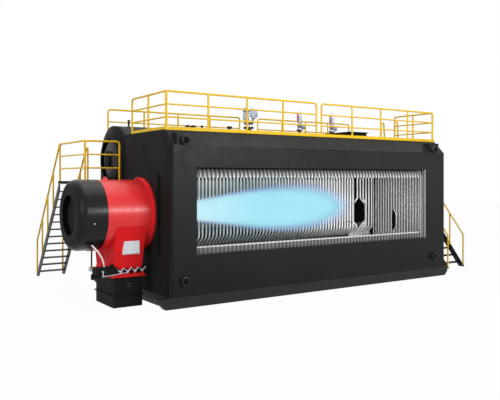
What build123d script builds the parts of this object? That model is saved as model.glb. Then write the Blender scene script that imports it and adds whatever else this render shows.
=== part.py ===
from build123d import *
import math
import os

# An industrial D-type water-tube boiler on a skid, with its burner, platforms and stairs.
# X runs along the body towards the rear, the side with the cut-away window faces -Y, Z is up.
# The origin is the centre of the skid's underside. Sizes are in millimetres.

# Body casing
body_length = 10400
body_width = 4820
casing = 100
skid_height = 290
side_top = 4170
edge_cut = 400

# Skid
skid_beam = 200
skid_nose = 150
skid_front_reach = 250
skid_rear_reach = 190
cross_members = 9

# Cut-away window in the near side
window_from_front = 780
window_length = 8715
window_sill = 1335
window_head = 3597

# Drums and the round casing over the steam drum
drum_casing_radius = 1020
drum_axis_z = 3870
steam_drum_radius = 760
water_drum_radius = 520
water_drum_z = 1080
drum_end_reach = 140
manhole_radius = 260
cover_reach = 130
cover_bore = 620
cover_lip = 90
drum_dish = 220
drum_head_steps = 6
manhole_cover_radius = 208
manhole_cover_thick = 30
manhole_seat = 20
yoke_thick = 50
yoke_spacing = 90

# Furnace tubes
tube_diameter = 60
tube_sides = 6
tube_pitch = 130
tube_count = 75
fin = 8
tube_stand_off = 60
first_tube_from_front = 450
furnace_width = 2880
roof_tube_z = 3700
floor_tube_z = 1120
upper_bend = 360
lower_bend = 250
stub_height = 160
bend_steps = 3
division_tubes = 67
division_foot_drop = 380
division_foot_shift = 330
screen_first_gap = 95
screen_pitch = 146
screen_bends = [(-90, 0), (385, 140), (205, 75), (0, 0), (0, 0), (0, 0)]
screen_opening_z = [1500, 1740, 2340, 2570]
full_tubes_front = 3
full_tubes_rear = 6

# Access door in the rear wall
door_thick = 60
access_after_tube = 13
access_z = 1795
access_height = 650
access_bend_rise = 110
door_width = 520
door_height = 760

# Burner
burner_y = -810
burner_z = 2370
burner_radius = 905
burner_reach = 1270
burner_ring_radius = 965
burner_ring = 60
mount_plate = 2060
mount_plate_thick = 70
cap_radius = 915
cap_length = 720
cap_round = 200
cap_recess_radius = 520
cap_recess = 150
throat_radius = 560
throat_wall = 90
hood_length = 790
hood_width = 1250
hood_neck_z = 1000
hood_top_drop = 150
hood_top_width = 1750
hood_from_front = 705
hood_flange = 70
hood_flange_z = 780
hood_flange_thick = 30
hood_spread = 42
hood_taper = 10
hood_top_spread = 15
intake_lip_z = 300
intake_lip = 45
intake_lip_thick = 20
eye_from_front = [1085, 155]
eye_thick = 24
eye_length = [160, 80]
eye_rise = 75
eye_drop = 38
eye_radius = 18
burner_box_x = 880
burner_box_length = 480
burner_box_depth = 150
burner_box_bevel = 35
burner_box_z = [1350, 1770]
sink = 60
actuator_length = 480
actuator_y = [-660, -400]
actuator_z = [870, 1060]
lever_x = [955, 755, 555, 355]
lever_z = 925
lever_span = [65, 105]
lever_rise = [55, 100]
lever_size = 28
lever_thick = 14
lever_stand_off = 90
lever_hub = 44
drive_lever = 1
drive_rod_z = 840
crank_x = 1410
crank_rise = 130
rod_size = 20

# Pilot gas pipe and conduit
gas_x = 1430
gas_y = 60
gas_low_z = 950
gas_pipe = 44
gas_bracket_length = [150, 80]
gas_bracket_width = 180
gas_bracket_drop = 15
gas_valve_radius = 60
gas_valve_x = [50, 110]
hose_y = -530
hose_x = [1690, 1470, 1345, 1310]
hose_z = [1690, 1455, 1250, 1050]
hose_bend = 400
hose_size = 42

# Platforms and stairs
platform_z = 3230
platform_depth = 1240
platform_y = 390
platform_width = 2350
deck_thick = 50
deck_clearance = 20
stair_width = 900
stair_inset = 35
stair_run = 2550
stair_steps = 13
stringer_thick = 30
stringer_depth = 200
tread_depth = 240
tread_thick = 30
tread_nosing = 50
rail_height = 1160
rail_size = 56
rail_inset = 45
rail_bars = 3
side_rail_start = 180
rear_platform_depth = 1440
rear_platform_y = -400
ladder_gap = 70
ladder_width = 690
rear_stair_foot_y = -1445

landing_leg = 90
knee_arm = 60
knee_thick = 40
knee_drop = 0.7
knee_foot = 130
knee_nose = 0.12
knee_insets = [110, 560]
knee_rear_shift = 90
stair_rail_posts = 3
stair_rail_foot = 60
stair_rail_top = 665

# Roof rails
roof_rail_height = 1005
roof_rail_inset = 440
roof_rail_from_front = 117
roof_rail_gap = 200
roof_rail_bays = 8
end_rail_bays = 2
front_rail_width = 2184
rear_rail_width = 1770
far_rail_inset = 320
kick_plate_height = 90
kick_plate_thick = 8
kick_plate_gap = 2
kick_plate_overhang = 50
far_rail_height = 870
far_rail_drop = 380
far_rail_x = [(117, 4990), (5760, 10170)]
far_rail_posts = 5

# Ladder from the roof to the rear platform
ladder_top_reach = 30
ladder_hoop_reach = 130
ladder_foot_reach = 330
ladder_hoop_rise = 850
ladder_root = 80
ladder_steps = 5
ladder_tread = 120
ladder_tread_thick = 20

# Lifting pins on the near side and the housings that carry the upper ones
pin_radius = 115
pin_reach = 120
pin_x = [-4795, 4640]
upper_pin_z = 4285
lower_pin_z = 700
pin_housing_x = [(-5000, -4580), (4510, 4930)]
pin_housing_top = 4490

# Roof fittings
steam_valve_x = -320
safety_valve_x = [1920, 3460]
safety_valve_profile = [(0, 0), (50, 0), (50, 100), (110, 100), (110, 140), (70, 160), (70, 300),
                        (110, 320), (110, 350), (65, 370), (65, 700), (35, 740), (35, 860), (0, 860)]
safety_outlet_z = 230
safety_outlet_reach = 230
safety_outlet_size = 110
steam_valve_profile = [(0, 0), (60, 0), (60, 160), (160, 160), (160, 200), (90, 200), (90, 240),
                       (165, 300), (165, 800), (120, 880), (0, 920)]
stub_profile = [(0, 0), (30, 0), (30, 120), (45, 120), (45, 140), (0, 140)]
dome_profile = [(0, 0), (105, 0), (105, 90), (70, 130), (0, 150)]
tee_profile = [(0, 0), (40, 0), (40, 110), (85, 110), (85, 150), (0, 150)]
nozzles = [(505, stub_profile), (2530, dome_profile), (2760, dome_profile), (3070, stub_profile),
           (4130, tee_profile)]
nozzle_sink = 20
flue_x = 2160
flue_length = 760
flue_y = -1025
flue_width = 1415
flue_height = 300
flue_flange = 45
flue_flange_thick = 25
flue_plate = 20
roof_plate_seam = 2

# Worked-out places
front = -body_length / 2
rear = body_length / 2
near = -body_width / 2
far = body_width / 2
deck_z = side_top + edge_cut
drum_axis_y = far - drum_casing_radius
window_x0 = front + window_from_front
window_x1 = window_x0 + window_length
near_tube_y = near + casing + tube_stand_off
division_y = near_tube_y + furnace_width
first_tube_x = front + first_tube_from_front
last_tube_x = first_tube_x + (tube_count - 1) * tube_pitch
tube_radius = tube_diameter / 2
tube_flat = tube_radius * math.cos(math.pi / tube_sides)
access_y = near_tube_y + (access_after_tube + 0.5) * tube_pitch
deck_meets_drum = drum_axis_y - math.sqrt(drum_casing_radius**2 - (deck_z - drum_axis_z)**2)


def slab(x0, x1, y0, y1, z0, z1):
    """A plain rectangular slab between two corners."""
    return Pos((x0 + x1) / 2, (y0 + y1) / 2, (z0 + z1) / 2) * Box(x1 - x0, y1 - y0, z1 - z0)


def along_x(outline, x0, x1):
    """Extrude a closed outline of (y, z) points from x0 to x1."""
    face = make_face(Polyline([(x0, y, z) for y, z in outline], close=True))
    return extrude(face, amount=x1 - x0, dir=(1, 0, 0))


def along_y(outline, y0, y1):
    """Extrude a closed outline of (x, z) points from y0 to y1."""
    face = make_face(Polyline([(x, y0, z) for x, z in outline], close=True))
    return extrude(face, amount=y1 - y0, dir=(0, 1, 0))


def disc_x(y, z, radius, x0, x1):
    """A round bar or disc along X."""
    return Pos((x0 + x1) / 2, y, z) * Rot(0, 90, 0) * Cylinder(radius, x1 - x0)


def turned_x(profile, y, z):
    """Turn a closed profile of (x, radius) points round an axis along X."""
    face = make_face(Polyline([(x, 0, radius) for x, radius in profile], close=True))
    return Pos(0, y, z) * revolve(face, Axis.X)


def turned_z(profile, x, y, z):
    """Turn a closed profile of (radius, height) points round an upright axis."""
    face = make_face(Polyline([(radius, 0, height) for radius, height in profile], close=True))
    return Pos(x, y, z) * revolve(face, Axis.Z)


def bar(start, end, size=rail_size, sides=6):
    """A straight bar of few sides between two points."""
    start, end = Vector(start), Vector(end)
    run = end - start
    section = Plane(origin=start, z_dir=run) * RegularPolygon(size / 2, sides)
    return extrude(section, amount=run.length)


def joined(pieces):
    """Weld pieces into one solid."""
    return pieces[0].fuse(*pieces[1:]) if len(pieces) > 1 else pieces[0]


def tube_row(first, count, pitch=tube_pitch):
    """Outline of a membrane wall: (along, out) corners of tubes joined by thin fins."""
    half = fin / 2
    angles = [math.pi - 2 * math.pi * k / tube_sides for k in range(1, tube_sides // 2)]
    upper = [(first - tube_radius, half)]
    for index in range(count):
        centre = first + index * pitch
        upper += [(centre + tube_radius * math.cos(a), tube_radius * math.sin(a)) for a in angles]
        if index < count - 1:
            upper += [(centre + tube_radius, half), (centre + pitch - tube_radius, half)]
    upper.append((first + (count - 1) * pitch + tube_radius, half))
    lower = [(along, -out) for along, out in reversed(upper)]
    return upper + lower


def tube_sheet(outline, path):
    """Carry a tube row along a bent (y, z) path, mitred at each bend."""
    sections = []
    for index, (y, z) in enumerate(path):
        steps = [path[i + 1][0] - path[i][0] + 1j * (path[i + 1][1] - path[i][1])
                 for i in (index - 1, index) if 0 <= i < len(path) - 1]
        units = [step / abs(step) for step in steps]
        run = sum(units) / len(units)
        out = 1j * run / abs(run) / abs(run)
        points = [(along, y + v * out.real, z + v * out.imag) for along, v in outline]
        sections.append(make_face(Polyline(points, close=True)))
    return loft(sections, ruled=True)


def quarter_bend(centre, radius, start, turn, steps):
    """Points of a bend in the (y, z) plane, laid on the tube's centre line."""
    reach = radius / math.cos(math.radians(turn / steps / 2))
    angles = [start + turn * (k + 0.5) / steps for k in range(steps)]
    return [(centre[0] + reach * math.cos(math.radians(a)),
             centre[1] + reach * math.sin(math.radians(a))) for a in angles]


def end_outline(x):
    """The body's outline seen from the end, as one closed face at x."""
    lines = Polyline((x, far, skid_height), (x, near, skid_height), (x, near, side_top),
                     (x, near + edge_cut, deck_z), (x, deck_meets_drum, deck_z))
    angle = math.atan2(deck_z - drum_axis_z, deck_meets_drum - drum_axis_y) / 2
    crown = (x, drum_axis_y + drum_casing_radius * math.cos(angle),
             drum_axis_z + drum_casing_radius * math.sin(angle))
    arc = ThreePointArc((x, deck_meets_drum, deck_z), crown, (x, far, drum_axis_z))
    side = Line((x, far, drum_axis_z), (x, far, skid_height))
    return make_face(lines + arc + side)


def skid_beams():
    """The two long beams of the skid, their ends cut up for dragging."""
    outline = [(front - skid_front_reach, skid_height), (front - skid_front_reach, skid_nose),
               (front - skid_front_reach + skid_height - skid_nose, 0),
               (rear + skid_rear_reach - skid_height + skid_nose, 0),
               (rear + skid_rear_reach, skid_nose), (rear + skid_rear_reach, skid_height)]
    return [along_y(outline, y, y + skid_beam) for y in (near, far - skid_beam)]


def skid_cross_members():
    members = []
    for index in range(cross_members):
        x = front + skid_beam / 2 + index * (body_length - skid_beam) / (cross_members - 1)
        members.append(slab(x - skid_beam / 2, x + skid_beam / 2, near + skid_beam,
                            far - skid_beam, 0, skid_height))
    return members


def casing_floor():
    return slab(front + casing, rear - casing, near + casing, far - casing,
                skid_height, skid_height + casing)


def near_wall_lower():
    return slab(front + casing, rear - casing, near, near + casing, skid_height, window_sill)


def near_wall_piers():
    return [slab(front + casing, window_x0, near, near + casing, window_sill, window_head),
            slab(window_x1, rear - casing, near, near + casing, window_sill, window_head)]


def near_wall_upper():
    inner = casing * math.tan(math.radians(22.5))
    outline = [(near, window_head), (near, side_top), (near + edge_cut, deck_z),
               (near + edge_cut, deck_z - casing - inner), (near + casing, side_top - inner),
               (near + casing, window_head)]
    return along_x(outline, front + casing, rear - casing)


def far_wall():
    return slab(front + casing, rear - casing, far - casing, far, skid_height, drum_axis_z)


def roof_deck():
    """Four roof plates round the flue, with thin seams between them."""
    x0, x1, y0, y1 = flue_clear_way()
    y_low, y_high = near + edge_cut, deck_meets_drum
    spans = [(front + casing, x0, y_low, y_high), (x1, rear - casing, y_low, y_high),
             (x0 + roof_plate_seam, x1 - roof_plate_seam, y_low, y0),
             (x0 + roof_plate_seam, x1 - roof_plate_seam, y1, y_high)]
    return [slab(*span, deck_z - casing, deck_z) for span in spans]


def drum_casing():
    length = body_length - 2 * casing
    shell = disc_x(drum_axis_y, drum_axis_z, drum_casing_radius, front + casing, rear - casing)
    shell -= disc_x(drum_axis_y, drum_axis_z, drum_casing_radius - casing,
                    front + casing, rear - casing)
    shell &= slab(-length / 2, length / 2, deck_meets_drum, far, drum_axis_z, deck_z + 2 * edge_cut)
    return shell


def front_wall():
    wall = extrude(end_outline(front), amount=casing, dir=(1, 0, 0))
    wall -= disc_x(burner_y, burner_z, throat_radius, front, front + casing)
    wall -= disc_x(drum_axis_y, drum_axis_z, steam_drum_radius, front, front + casing)
    wall -= disc_x(drum_axis_y, water_drum_z, water_drum_radius, front, front + casing)
    return wall


def rear_wall():
    wall = extrude(end_outline(rear - casing), amount=casing, dir=(1, 0, 0))
    wall -= disc_x(drum_axis_y, drum_axis_z, steam_drum_radius, rear - casing, rear)
    wall -= disc_x(drum_axis_y, water_drum_z, water_drum_radius, rear - casing, rear)
    return wall


def drum(radius, z):
    """A boiler drum with shallow dished heads that stand a little out of both end walls."""
    half = body_length / 2 + drum_end_reach
    turns = [math.pi / 2 * step / drum_head_steps for step in range(drum_head_steps + 1)]
    head = [(half - drum_dish * (1 - math.cos(turn)), radius * math.sin(turn)) for turn in turns]
    return turned_x([(-x, r) for x, r in head] + list(reversed(head)), drum_axis_y, z)


def drum_cover(end):
    """The tapered insulated ring round the steam drum's head."""
    face = front if end < 0 else rear
    profile = [(face, drum_casing_radius), (face + end * cover_reach, cover_bore + cover_lip),
               (face + end * cover_reach, cover_bore), (face, steam_drum_radius)]
    return turned_x(profile, drum_axis_y, drum_axis_z)


def manhole_covers(drums):
    covers = []
    for end in (-1, 1):
        for z in (drum_axis_z, water_drum_z):
            face = end * (body_length / 2 + drum_end_reach)
            outer = face + end * manhole_cover_thick
            cover = disc_x(drum_axis_y, z, manhole_cover_radius,
                           *sorted((face - end * manhole_seat, outer))) - drums
            bars = [slab(*sorted((outer, outer + end * yoke_thick)),
                         drum_axis_y + y - yoke_thick / 2, drum_axis_y + y + yoke_thick / 2,
                         z - manhole_radius, z + manhole_radius)
                    for y in (-yoke_spacing, yoke_spacing)]
            covers.append(joined([cover] + bars))
    return covers


def division_wall(drums):
    """The membrane wall between furnace and tube bank, its feet turned to the water drum."""
    bend_z = floor_tube_z + division_foot_drop
    path = [(division_y, roof_tube_z - tube_flat), (division_y, bend_z),
            (division_y + division_foot_shift, floor_tube_z + tube_diameter)]
    sheet = tube_sheet(tube_row(first_tube_x, division_tubes), path)
    return sheet - drums


def bent_tube(points):
    """One tube along straight runs, mitred where they meet."""
    route = Polyline(points)
    section = Plane(origin=route @ 0, z_dir=route % 0) * RegularPolygon(tube_radius, tube_sides)
    return sweep(section, path=route, transition=Transition.RIGHT)


def exit_screen(drums):
    """Spaced tubes that the gas leaves the furnace through, three of them bent round an opening."""
    first = first_tube_x + (division_tubes - 1) * tube_pitch + tube_pitch + screen_first_gap
    foot_z, low_z, high_z, head_z = screen_opening_z
    tubes = []
    for index, (along, back) in enumerate(screen_bends):
        x = first + index * screen_pitch
        points = [(x, division_y, roof_tube_z - tube_flat)]
        if along:
            points += [(x, division_y, head_z), (x + along, division_y + back, high_z),
                       (x + along, division_y + back, low_z)]
        points += [(x, division_y, foot_z),
                   (x, division_y + division_foot_shift, floor_tube_z + tube_diameter)]
        tubes.append(bent_tube(points) - drums)
    return [tubes[0], joined(tubes[1:4])] + tubes[4:]


def roof_tubes(drums):
    """The roof tubes run from the steam drum to the head of the near wall."""
    path = [(drum_axis_y - steam_drum_radius / 2, roof_tube_z),
            (near_tube_y + upper_bend, roof_tube_z)]
    return tube_sheet(tube_row(first_tube_x, tube_count), path) - drums


def floor_tubes(drums):
    """The floor tubes run from the water drum to the foot of the near wall."""
    path = [(drum_axis_y - water_drum_radius / 2, floor_tube_z),
            (near_tube_y + lower_bend, floor_tube_z)]
    return tube_sheet(tube_row(first_tube_x, tube_count), path) - drums


def upper_bends():
    """The bends from the roof into the near wall, cut off at the top of the window."""
    centre = (near_tube_y + upper_bend, roof_tube_z - upper_bend)
    path = [(near_tube_y + upper_bend, roof_tube_z)]
    path += quarter_bend(centre, upper_bend, 90, 90, bend_steps)
    path.append((near_tube_y, roof_tube_z - upper_bend))
    return tube_sheet(tube_row(first_tube_x, tube_count), path)


def lower_bends():
    """The bends from the floor into the near wall, cut off a little above the window sill."""
    centre = (near_tube_y + lower_bend, floor_tube_z + lower_bend)
    path = [(near_tube_y + lower_bend, floor_tube_z)]
    path += quarter_bend(centre, lower_bend, -90, -90, bend_steps)
    path.append((near_tube_y, floor_tube_z + lower_bend + stub_height))
    return tube_sheet(tube_row(first_tube_x, tube_count), path)


def near_tubes():
    """The near-wall tubes beside the window, which run their full height."""
    z0 = floor_tube_z + lower_bend + stub_height
    z1 = roof_tube_z - upper_bend
    path = [(near_tube_y, z0), (near_tube_y, z1)]
    rear_first = last_tube_x - (full_tubes_rear - 1) * tube_pitch
    return [tube_sheet(tube_row(first_tube_x, full_tubes_front), path),
            tube_sheet(tube_row(rear_first, full_tubes_rear), path)]


def furnace_outline():
    """The furnace's clear (y, z) outline, inside the flats of its tubes."""
    lower = (near_tube_y + lower_bend, floor_tube_z + lower_bend)
    upper = (near_tube_y + upper_bend, roof_tube_z - upper_bend)
    outline = [(division_y - tube_radius, floor_tube_z + tube_flat)]
    outline += quarter_bend(lower, lower_bend - tube_flat, -90, -90, bend_steps)
    outline += reversed(quarter_bend(upper, upper_bend - tube_flat, 90, 90, bend_steps))
    outline.append((division_y - tube_radius, roof_tube_z - tube_flat))
    return outline


def end_tube_wall(x):
    """A membrane wall across the furnace at one end."""
    count = int((furnace_width - tube_pitch) // tube_pitch)
    outline = tube_row(near_tube_y + tube_pitch, count)
    face = make_face(Polyline([(x + v, y, floor_tube_z) for y, v in outline], close=True))
    wall = extrude(face, amount=roof_tube_z - floor_tube_z, dir=(0, 0, 1))
    return wall & along_x(furnace_outline(), x - tube_diameter, x + tube_diameter)


def front_tube_wall():
    wall = end_tube_wall(first_tube_x)
    wall -= disc_x(burner_y, burner_z, throat_radius + throat_wall,
                   first_tube_x - tube_diameter, first_tube_x + tube_diameter)
    return wall


def rear_tube_wall():
    """The rear wall, with two tubes bent aside by half a pitch round the access opening."""
    wall = end_tube_wall(last_tube_x)
    low, high = access_z - access_height / 2, access_z + access_height / 2
    wall -= slab(last_tube_x - tube_diameter, last_tube_x + tube_diameter, access_y - tube_pitch,
                 access_y + tube_pitch, low - access_bend_rise, high + access_bend_rise)
    tubes = []
    for side in (-tube_pitch, tube_pitch):
        straight, aside = access_y + side / 2, access_y + side
        tubes.append(bent_tube([(last_tube_x, straight, low - access_bend_rise),
                                (last_tube_x, aside, low), (last_tube_x, aside, high),
                                (last_tube_x, straight, high + access_bend_rise)]))
    return joined([wall] + tubes)


def rear_access_door():
    """A bolted door in the rear casing, level with the gap in the rear tube wall."""
    door = slab(rear, rear + door_thick, access_y - door_width / 2, access_y + door_width / 2,
                access_z - door_height / 2, access_z + door_height / 2)
    return fillet(door.edges().filter_by(Axis.X), door_width / 4)


def burner_throat():
    profile = [(front + casing, throat_radius), (front + casing, throat_radius + throat_wall),
               (first_tube_x + tube_radius, throat_radius + throat_wall),
               (first_tube_x + tube_radius, throat_radius + throat_wall / 2)]
    return turned_x(profile, burner_y, burner_z)


def burner_mount_plate():
    half = mount_plate / 2
    wall = slab(front - mount_plate_thick, front, burner_y - half, burner_y + half,
                burner_z - half, burner_z + half)
    wall -= disc_x(burner_y, burner_z, throat_radius, front - mount_plate_thick, front)
    return wall


def burner_shell():
    """The burner housing as turned, with the bolting ring at its root."""
    root = front - mount_plate_thick
    profile = [(root, 0), (root, burner_ring_radius), (root - burner_ring, burner_ring_radius),
               (root - burner_ring, burner_radius), (root - burner_reach, burner_radius),
               (root - burner_reach, 0)]
    return turned_x(profile, burner_y, burner_z)


def lifting_eye(x, shell):
    """A tapered lug with a round eye, welded along the top of the burner."""
    root = burner_z + burner_radius
    foot, crest = [length / 2 for length in eye_length]
    y0, y1 = burner_y - eye_thick / 2, burner_y + eye_thick / 2
    lug = along_y([(x - foot, root - eye_rise), (x - foot, root), (x - crest, root + eye_rise),
                   (x + crest, root + eye_rise), (x + foot, root), (x + foot, root - eye_rise)], y0, y1)
    eye = Pos(x, burner_y, root + eye_rise - eye_drop) * Rot(90, 0, 0) * Cylinder(eye_radius, eye_thick)
    return lug - eye - shell


def burner_cap():
    """The black intake cap, its front edge rounded and its face recessed."""
    root = front - mount_plate_thick - burner_reach
    tip = root - cap_length
    profile = [(root, 0), (root, cap_radius), (tip, cap_radius), (tip, cap_recess_radius),
               (tip + cap_recess, cap_recess_radius), (tip + cap_recess, 0)]
    cap = turned_x(profile, burner_y, burner_z)
    rim = cap.edges().filter_by(GeomType.CIRCLE).sort_by(SortBy.RADIUS)[-2:].sort_by(Axis.X)[0]
    return fillet(rim, cap_round)


def hood_section(z, grow, width=hood_width):
    """A level outline of the air hood, grown on all sides."""
    outline = Rectangle(hood_length + 2 * grow, width + 2 * grow)
    return Pos(front - hood_from_front, burner_y, z) * outline


def air_hood(shell):
    """The hood, flared to its flange and widened upwards until its sides meet the burner."""
    flange_top = hood_flange_z + hood_flange_thick
    waist = hood_section(hood_neck_z, -hood_taper)
    head = hood_section(burner_z - hood_top_drop, hood_top_spread, hood_top_width)
    neck = loft([hood_section(flange_top, hood_spread), waist], ruled=True)
    body = loft([waist, head], ruled=True)
    flange = extrude(hood_section(hood_flange_z, hood_flange), amount=hood_flange_thick)
    return joined([flange, neck, body]) - shell


def intake_box():
    box = extrude(hood_section(0, 0), amount=hood_flange_z)
    lip = extrude(hood_section(intake_lip_z, intake_lip), amount=intake_lip_thick)
    return joined([box, lip])


def junction_box(shell, hood):
    """The electrical box on the hood's near face, its front edges bevelled."""
    x0 = front - burner_box_x
    face = burner_y - hood_width / 2
    box = slab(x0, x0 + burner_box_length, face - burner_box_depth, face + hood_width / 4,
               *burner_box_z)
    box = chamfer(box.faces().sort_by(Axis.Y)[0].edges(), burner_box_bevel)
    return box - hood - shell


def damper_actuator(hood):
    """The drive box that stands out from the hood's front face and turns the dampers."""
    face = front - hood_from_front - hood_length / 2
    y0, y1 = [burner_y + y for y in actuator_y]
    return slab(face - actuator_length, face + sink, y0, y1, *actuator_z) - hood


def damper_linkage(hood, actuator):
    """Four bell cranks on the dampers' shafts, one of them driven by a rod from the drive box."""
    face = burner_y - hood_width / 2
    y = face - lever_stand_off
    ahead, behind = lever_span
    rise_ahead, rise_behind = lever_rise
    cranks = []
    for place in lever_x:
        x = front - place
        shaft = bar((x, y - lever_thick, lever_z), (x, face + sink, lever_z), lever_hub)
        arms = [bar((x, y, lever_z), (x - ahead, y, lever_z + rise_ahead), lever_size),
                bar((x, y, lever_z), (x + behind, y, lever_z + rise_behind), lever_size)]
        cranks.append(joined([shaft] + arms))
    driven_x = front - lever_x[drive_lever]
    drive_x = front - crank_x
    drive_y = burner_y + actuator_y[0]
    rod = bar((drive_x, y, drive_rod_z), (driven_x, y, lever_z - lever_hub / 2), rod_size)
    arm = bar((drive_x, y, drive_rod_z), (drive_x, y, drive_rod_z + crank_rise), lever_size)
    pin = bar((drive_x, y - lever_thick, drive_rod_z + crank_rise), (drive_x, drive_y + sink,
              drive_rod_z + crank_rise), lever_hub)
    cranks[drive_lever] = joined([cranks[drive_lever], rod, arm, pin])
    return [crank - hood - actuator for crank in cranks]


def pilot_gas_train(shell, hood):
    """The pilot gas pipe under the burner, with its bracket, valve and run to the hood."""
    x = front - gas_x
    hood_face = front - hood_from_front - hood_length / 2
    y = burner_y + gas_y
    ahead, behind = gas_bracket_length
    pieces = [slab(x - ahead, x + behind, y - gas_bracket_width / 2, y + gas_bracket_width / 2,
                   burner_z - cap_radius - gas_bracket_drop, burner_z),
              bar((x, y, burner_z - cap_radius), (x, y, gas_low_z), gas_pipe, 8),
              bar((x - gas_valve_x[0], y, gas_low_z), (hood_face + sink, y, gas_low_z), gas_pipe, 8),
              disc_x(y, gas_low_z, gas_valve_radius, x - gas_valve_x[0], x + gas_valve_x[1])]
    return joined(pieces) - shell - hood


def burner_hose(cap, actuator):
    """A stiff bent conduit from the cap's underside down to the drive box."""
    y = burner_y + hose_y
    route = FilletPolyline([(front - x, y, z) for x, z in zip(hose_x, hose_z)], radius=hose_bend)
    section = Plane(origin=route @ 0, z_dir=route % 0) * RegularPolygon(hose_size / 2, 8)
    return sweep(section, path=route) - cap - actuator


def platform(x0, x1, y0, y1):
    """A grating deck with its edge frame."""
    return slab(x0, x1, y0, y1, platform_z - deck_thick, platform_z)


def knee_brace(wall_x, reach, y):
    """A braced arm that carries a deck off an end wall."""
    out = wall_x + reach
    top = platform_z - deck_thick
    low = top - abs(reach) * knee_drop
    outline = [(wall_x, low), (out, top - knee_arm), (out, top), (wall_x, top)]
    inner = [(wall_x, low + knee_foot), (out - reach * knee_nose, top - knee_arm),
             (wall_x, top - knee_arm)]
    y0 = y - knee_thick / 2
    return along_y(outline, y0, y0 + knee_thick) - along_y(inner, y0, y0 + knee_thick)


def rail_panel(start, end, base_z, height, bays):
    """A straight stretch of handrail with evenly spaced posts and level bars."""
    start, end = Vector(*start), Vector(*end)
    pieces = []
    for index in range(bays + 1):
        foot = start + (end - start) * (index / bays)
        pieces.append(bar((foot.X, foot.Y, base_z),
                          (foot.X, foot.Y, base_z + height - rail_size / 2)))
    for level in range(rail_bars):
        z = base_z + (height - rail_size / 2) * (level + 1) / rail_bars
        pieces.append(bar((start.X, start.Y, z), (end.X, end.Y, z)))
    return pieces


def end_bars(x, y0, y1, base_z, height):
    """A stretch of rail across X that starts at a post which another panel carries."""
    pieces = []
    for index in range(1, end_rail_bays + 1):
        y = y0 + (y1 - y0) * index / end_rail_bays
        pieces.append(bar((x, y, base_z), (x, y, base_z + height - rail_size / 2)))
    for level in range(rail_bars):
        z = base_z + (height - rail_size / 2) * (level + 1) / rail_bars
        pieces.append(bar((x, y0, z), (x, y1, z)))
    return pieces


def stair(x0, y_foot, y_top):
    """Stringers and treads of one flight between x0 and x0 + stair_width."""
    way = 1 if y_top > y_foot else -1
    run = abs(y_top - y_foot)
    slope = math.atan2(platform_z, run)
    drop = stringer_depth / math.cos(slope)
    back = drop / math.tan(slope)
    outline = [(y_foot, 0), (y_foot + way * back, 0), (y_top, platform_z - drop),
               (y_top, platform_z)]
    stringers = [along_x(outline, x, x + stringer_thick)
                 for x in (x0, x0 + stair_width - stringer_thick)]
    treads = []
    for step in range(1, stair_steps):
        z = platform_z * step / stair_steps
        y = y_foot + way * run * step / stair_steps
        y0, y1 = sorted((y - way * tread_nosing, y + way * (tread_depth - tread_nosing)))
        treads.append(slab(x0 + stringer_thick, x0 + stair_width - stringer_thick, y0, y1,
                           z - tread_thick - stringer_depth / 3, z - stringer_depth / 3))
    return stringers, treads


def stair_rails(x0, y_foot, y_top, stringers, landing_rail, post_side):
    """The rails of one flight: one ends at the landing's rail, the other in its own post."""
    way = 1 if y_top > y_foot else -1
    run = abs(y_top - y_foot)
    slope_rise = platform_z / run
    rise = rail_height - rail_size / 2
    first, last = stair_rail_foot, run - stair_rail_top
    y_end = y_top + way * rail_inset
    rails = []
    for side in (0, 1):
        x = x0 + stringer_thick / 2 + side * (stair_width - stringer_thick)
        pieces = []
        for index in range(stair_rail_posts + 1):
            along = first + (last - first) * index / stair_rail_posts
            y = y_foot + way * along
            z = along * slope_rise
            pieces.append(bar((x, y, z - stringer_depth / 2), (x, y, z + rise)))
        pieces.append(bar((x, y_foot + way * first, first * slope_rise + rise),
                          (x, y_top, platform_z + rise)))
        pieces.append(bar((x, y_top, platform_z + rise), (x, y_end, platform_z + rise)))
        if side == post_side:
            pieces.append(bar((x, y_end, platform_z), (x, y_end, platform_z + rise)))
        rail = joined(pieces) - landing_rail
        for stringer in stringers:
            rail -= stringer
        rails.append(rail)
    return rails


def roof_rails():
    """The two stretches along the near edge, and the two short ends that meet them."""
    y = near + roof_rail_inset
    x0 = front + roof_rail_from_front
    x1 = rear - roof_rail_from_front / 2
    middle = (x0 + x1) / 2
    bays = roof_rail_bays // 2
    side = [joined(rail_panel((x0, y), (middle - roof_rail_gap / 2, y), deck_z,
                              roof_rail_height, bays)),
            joined(rail_panel((middle + roof_rail_gap / 2, y), (x1, y), deck_z,
                              roof_rail_height, bays))]
    ends = []
    for x, width, panel in ((x0, front_rail_width, side[0]), (x1, rear_rail_width, side[1])):
        ends.append(joined(end_bars(x, y, y + width, deck_z, roof_rail_height)) - panel)
    return side, ends


def far_rails(shell):
    y = far - far_rail_inset
    top = deck_z + far_rail_height
    rails = []
    for start, end in far_rail_x:
        x0, x1 = front + start, front + end
        pieces = []
        for index in range(far_rail_posts):
            x = x0 + (x1 - x0) * index / (far_rail_posts - 1)
            pieces.append(bar((x, y, drum_axis_z + drum_casing_radius / 2), (x, y, top)))
        for z in (top, top - far_rail_drop):
            pieces.append(bar((x0, y, z), (x1, y, z)))
        rails.append(joined(pieces) - shell)
    return rails


def kick_plates():
    """Upright plates along the roof's near edge and both ends, inside the rails."""
    x0 = front + roof_rail_from_front - kick_plate_overhang
    x1 = rear - roof_rail_from_front / 2 + kick_plate_overhang
    y0 = near + edge_cut + kick_plate_gap
    y1 = y0 + kick_plate_thick + kick_plate_gap
    top = deck_z + kick_plate_height
    return [slab(x0, x1, y0, y0 + kick_plate_thick, deck_z, top),
            slab(x0, x0 + kick_plate_thick, y1, y1 + front_rail_width, deck_z, top),
            slab(x1 - kick_plate_thick, x1, y1, y1 + rear_rail_width, deck_z, top)]


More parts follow.
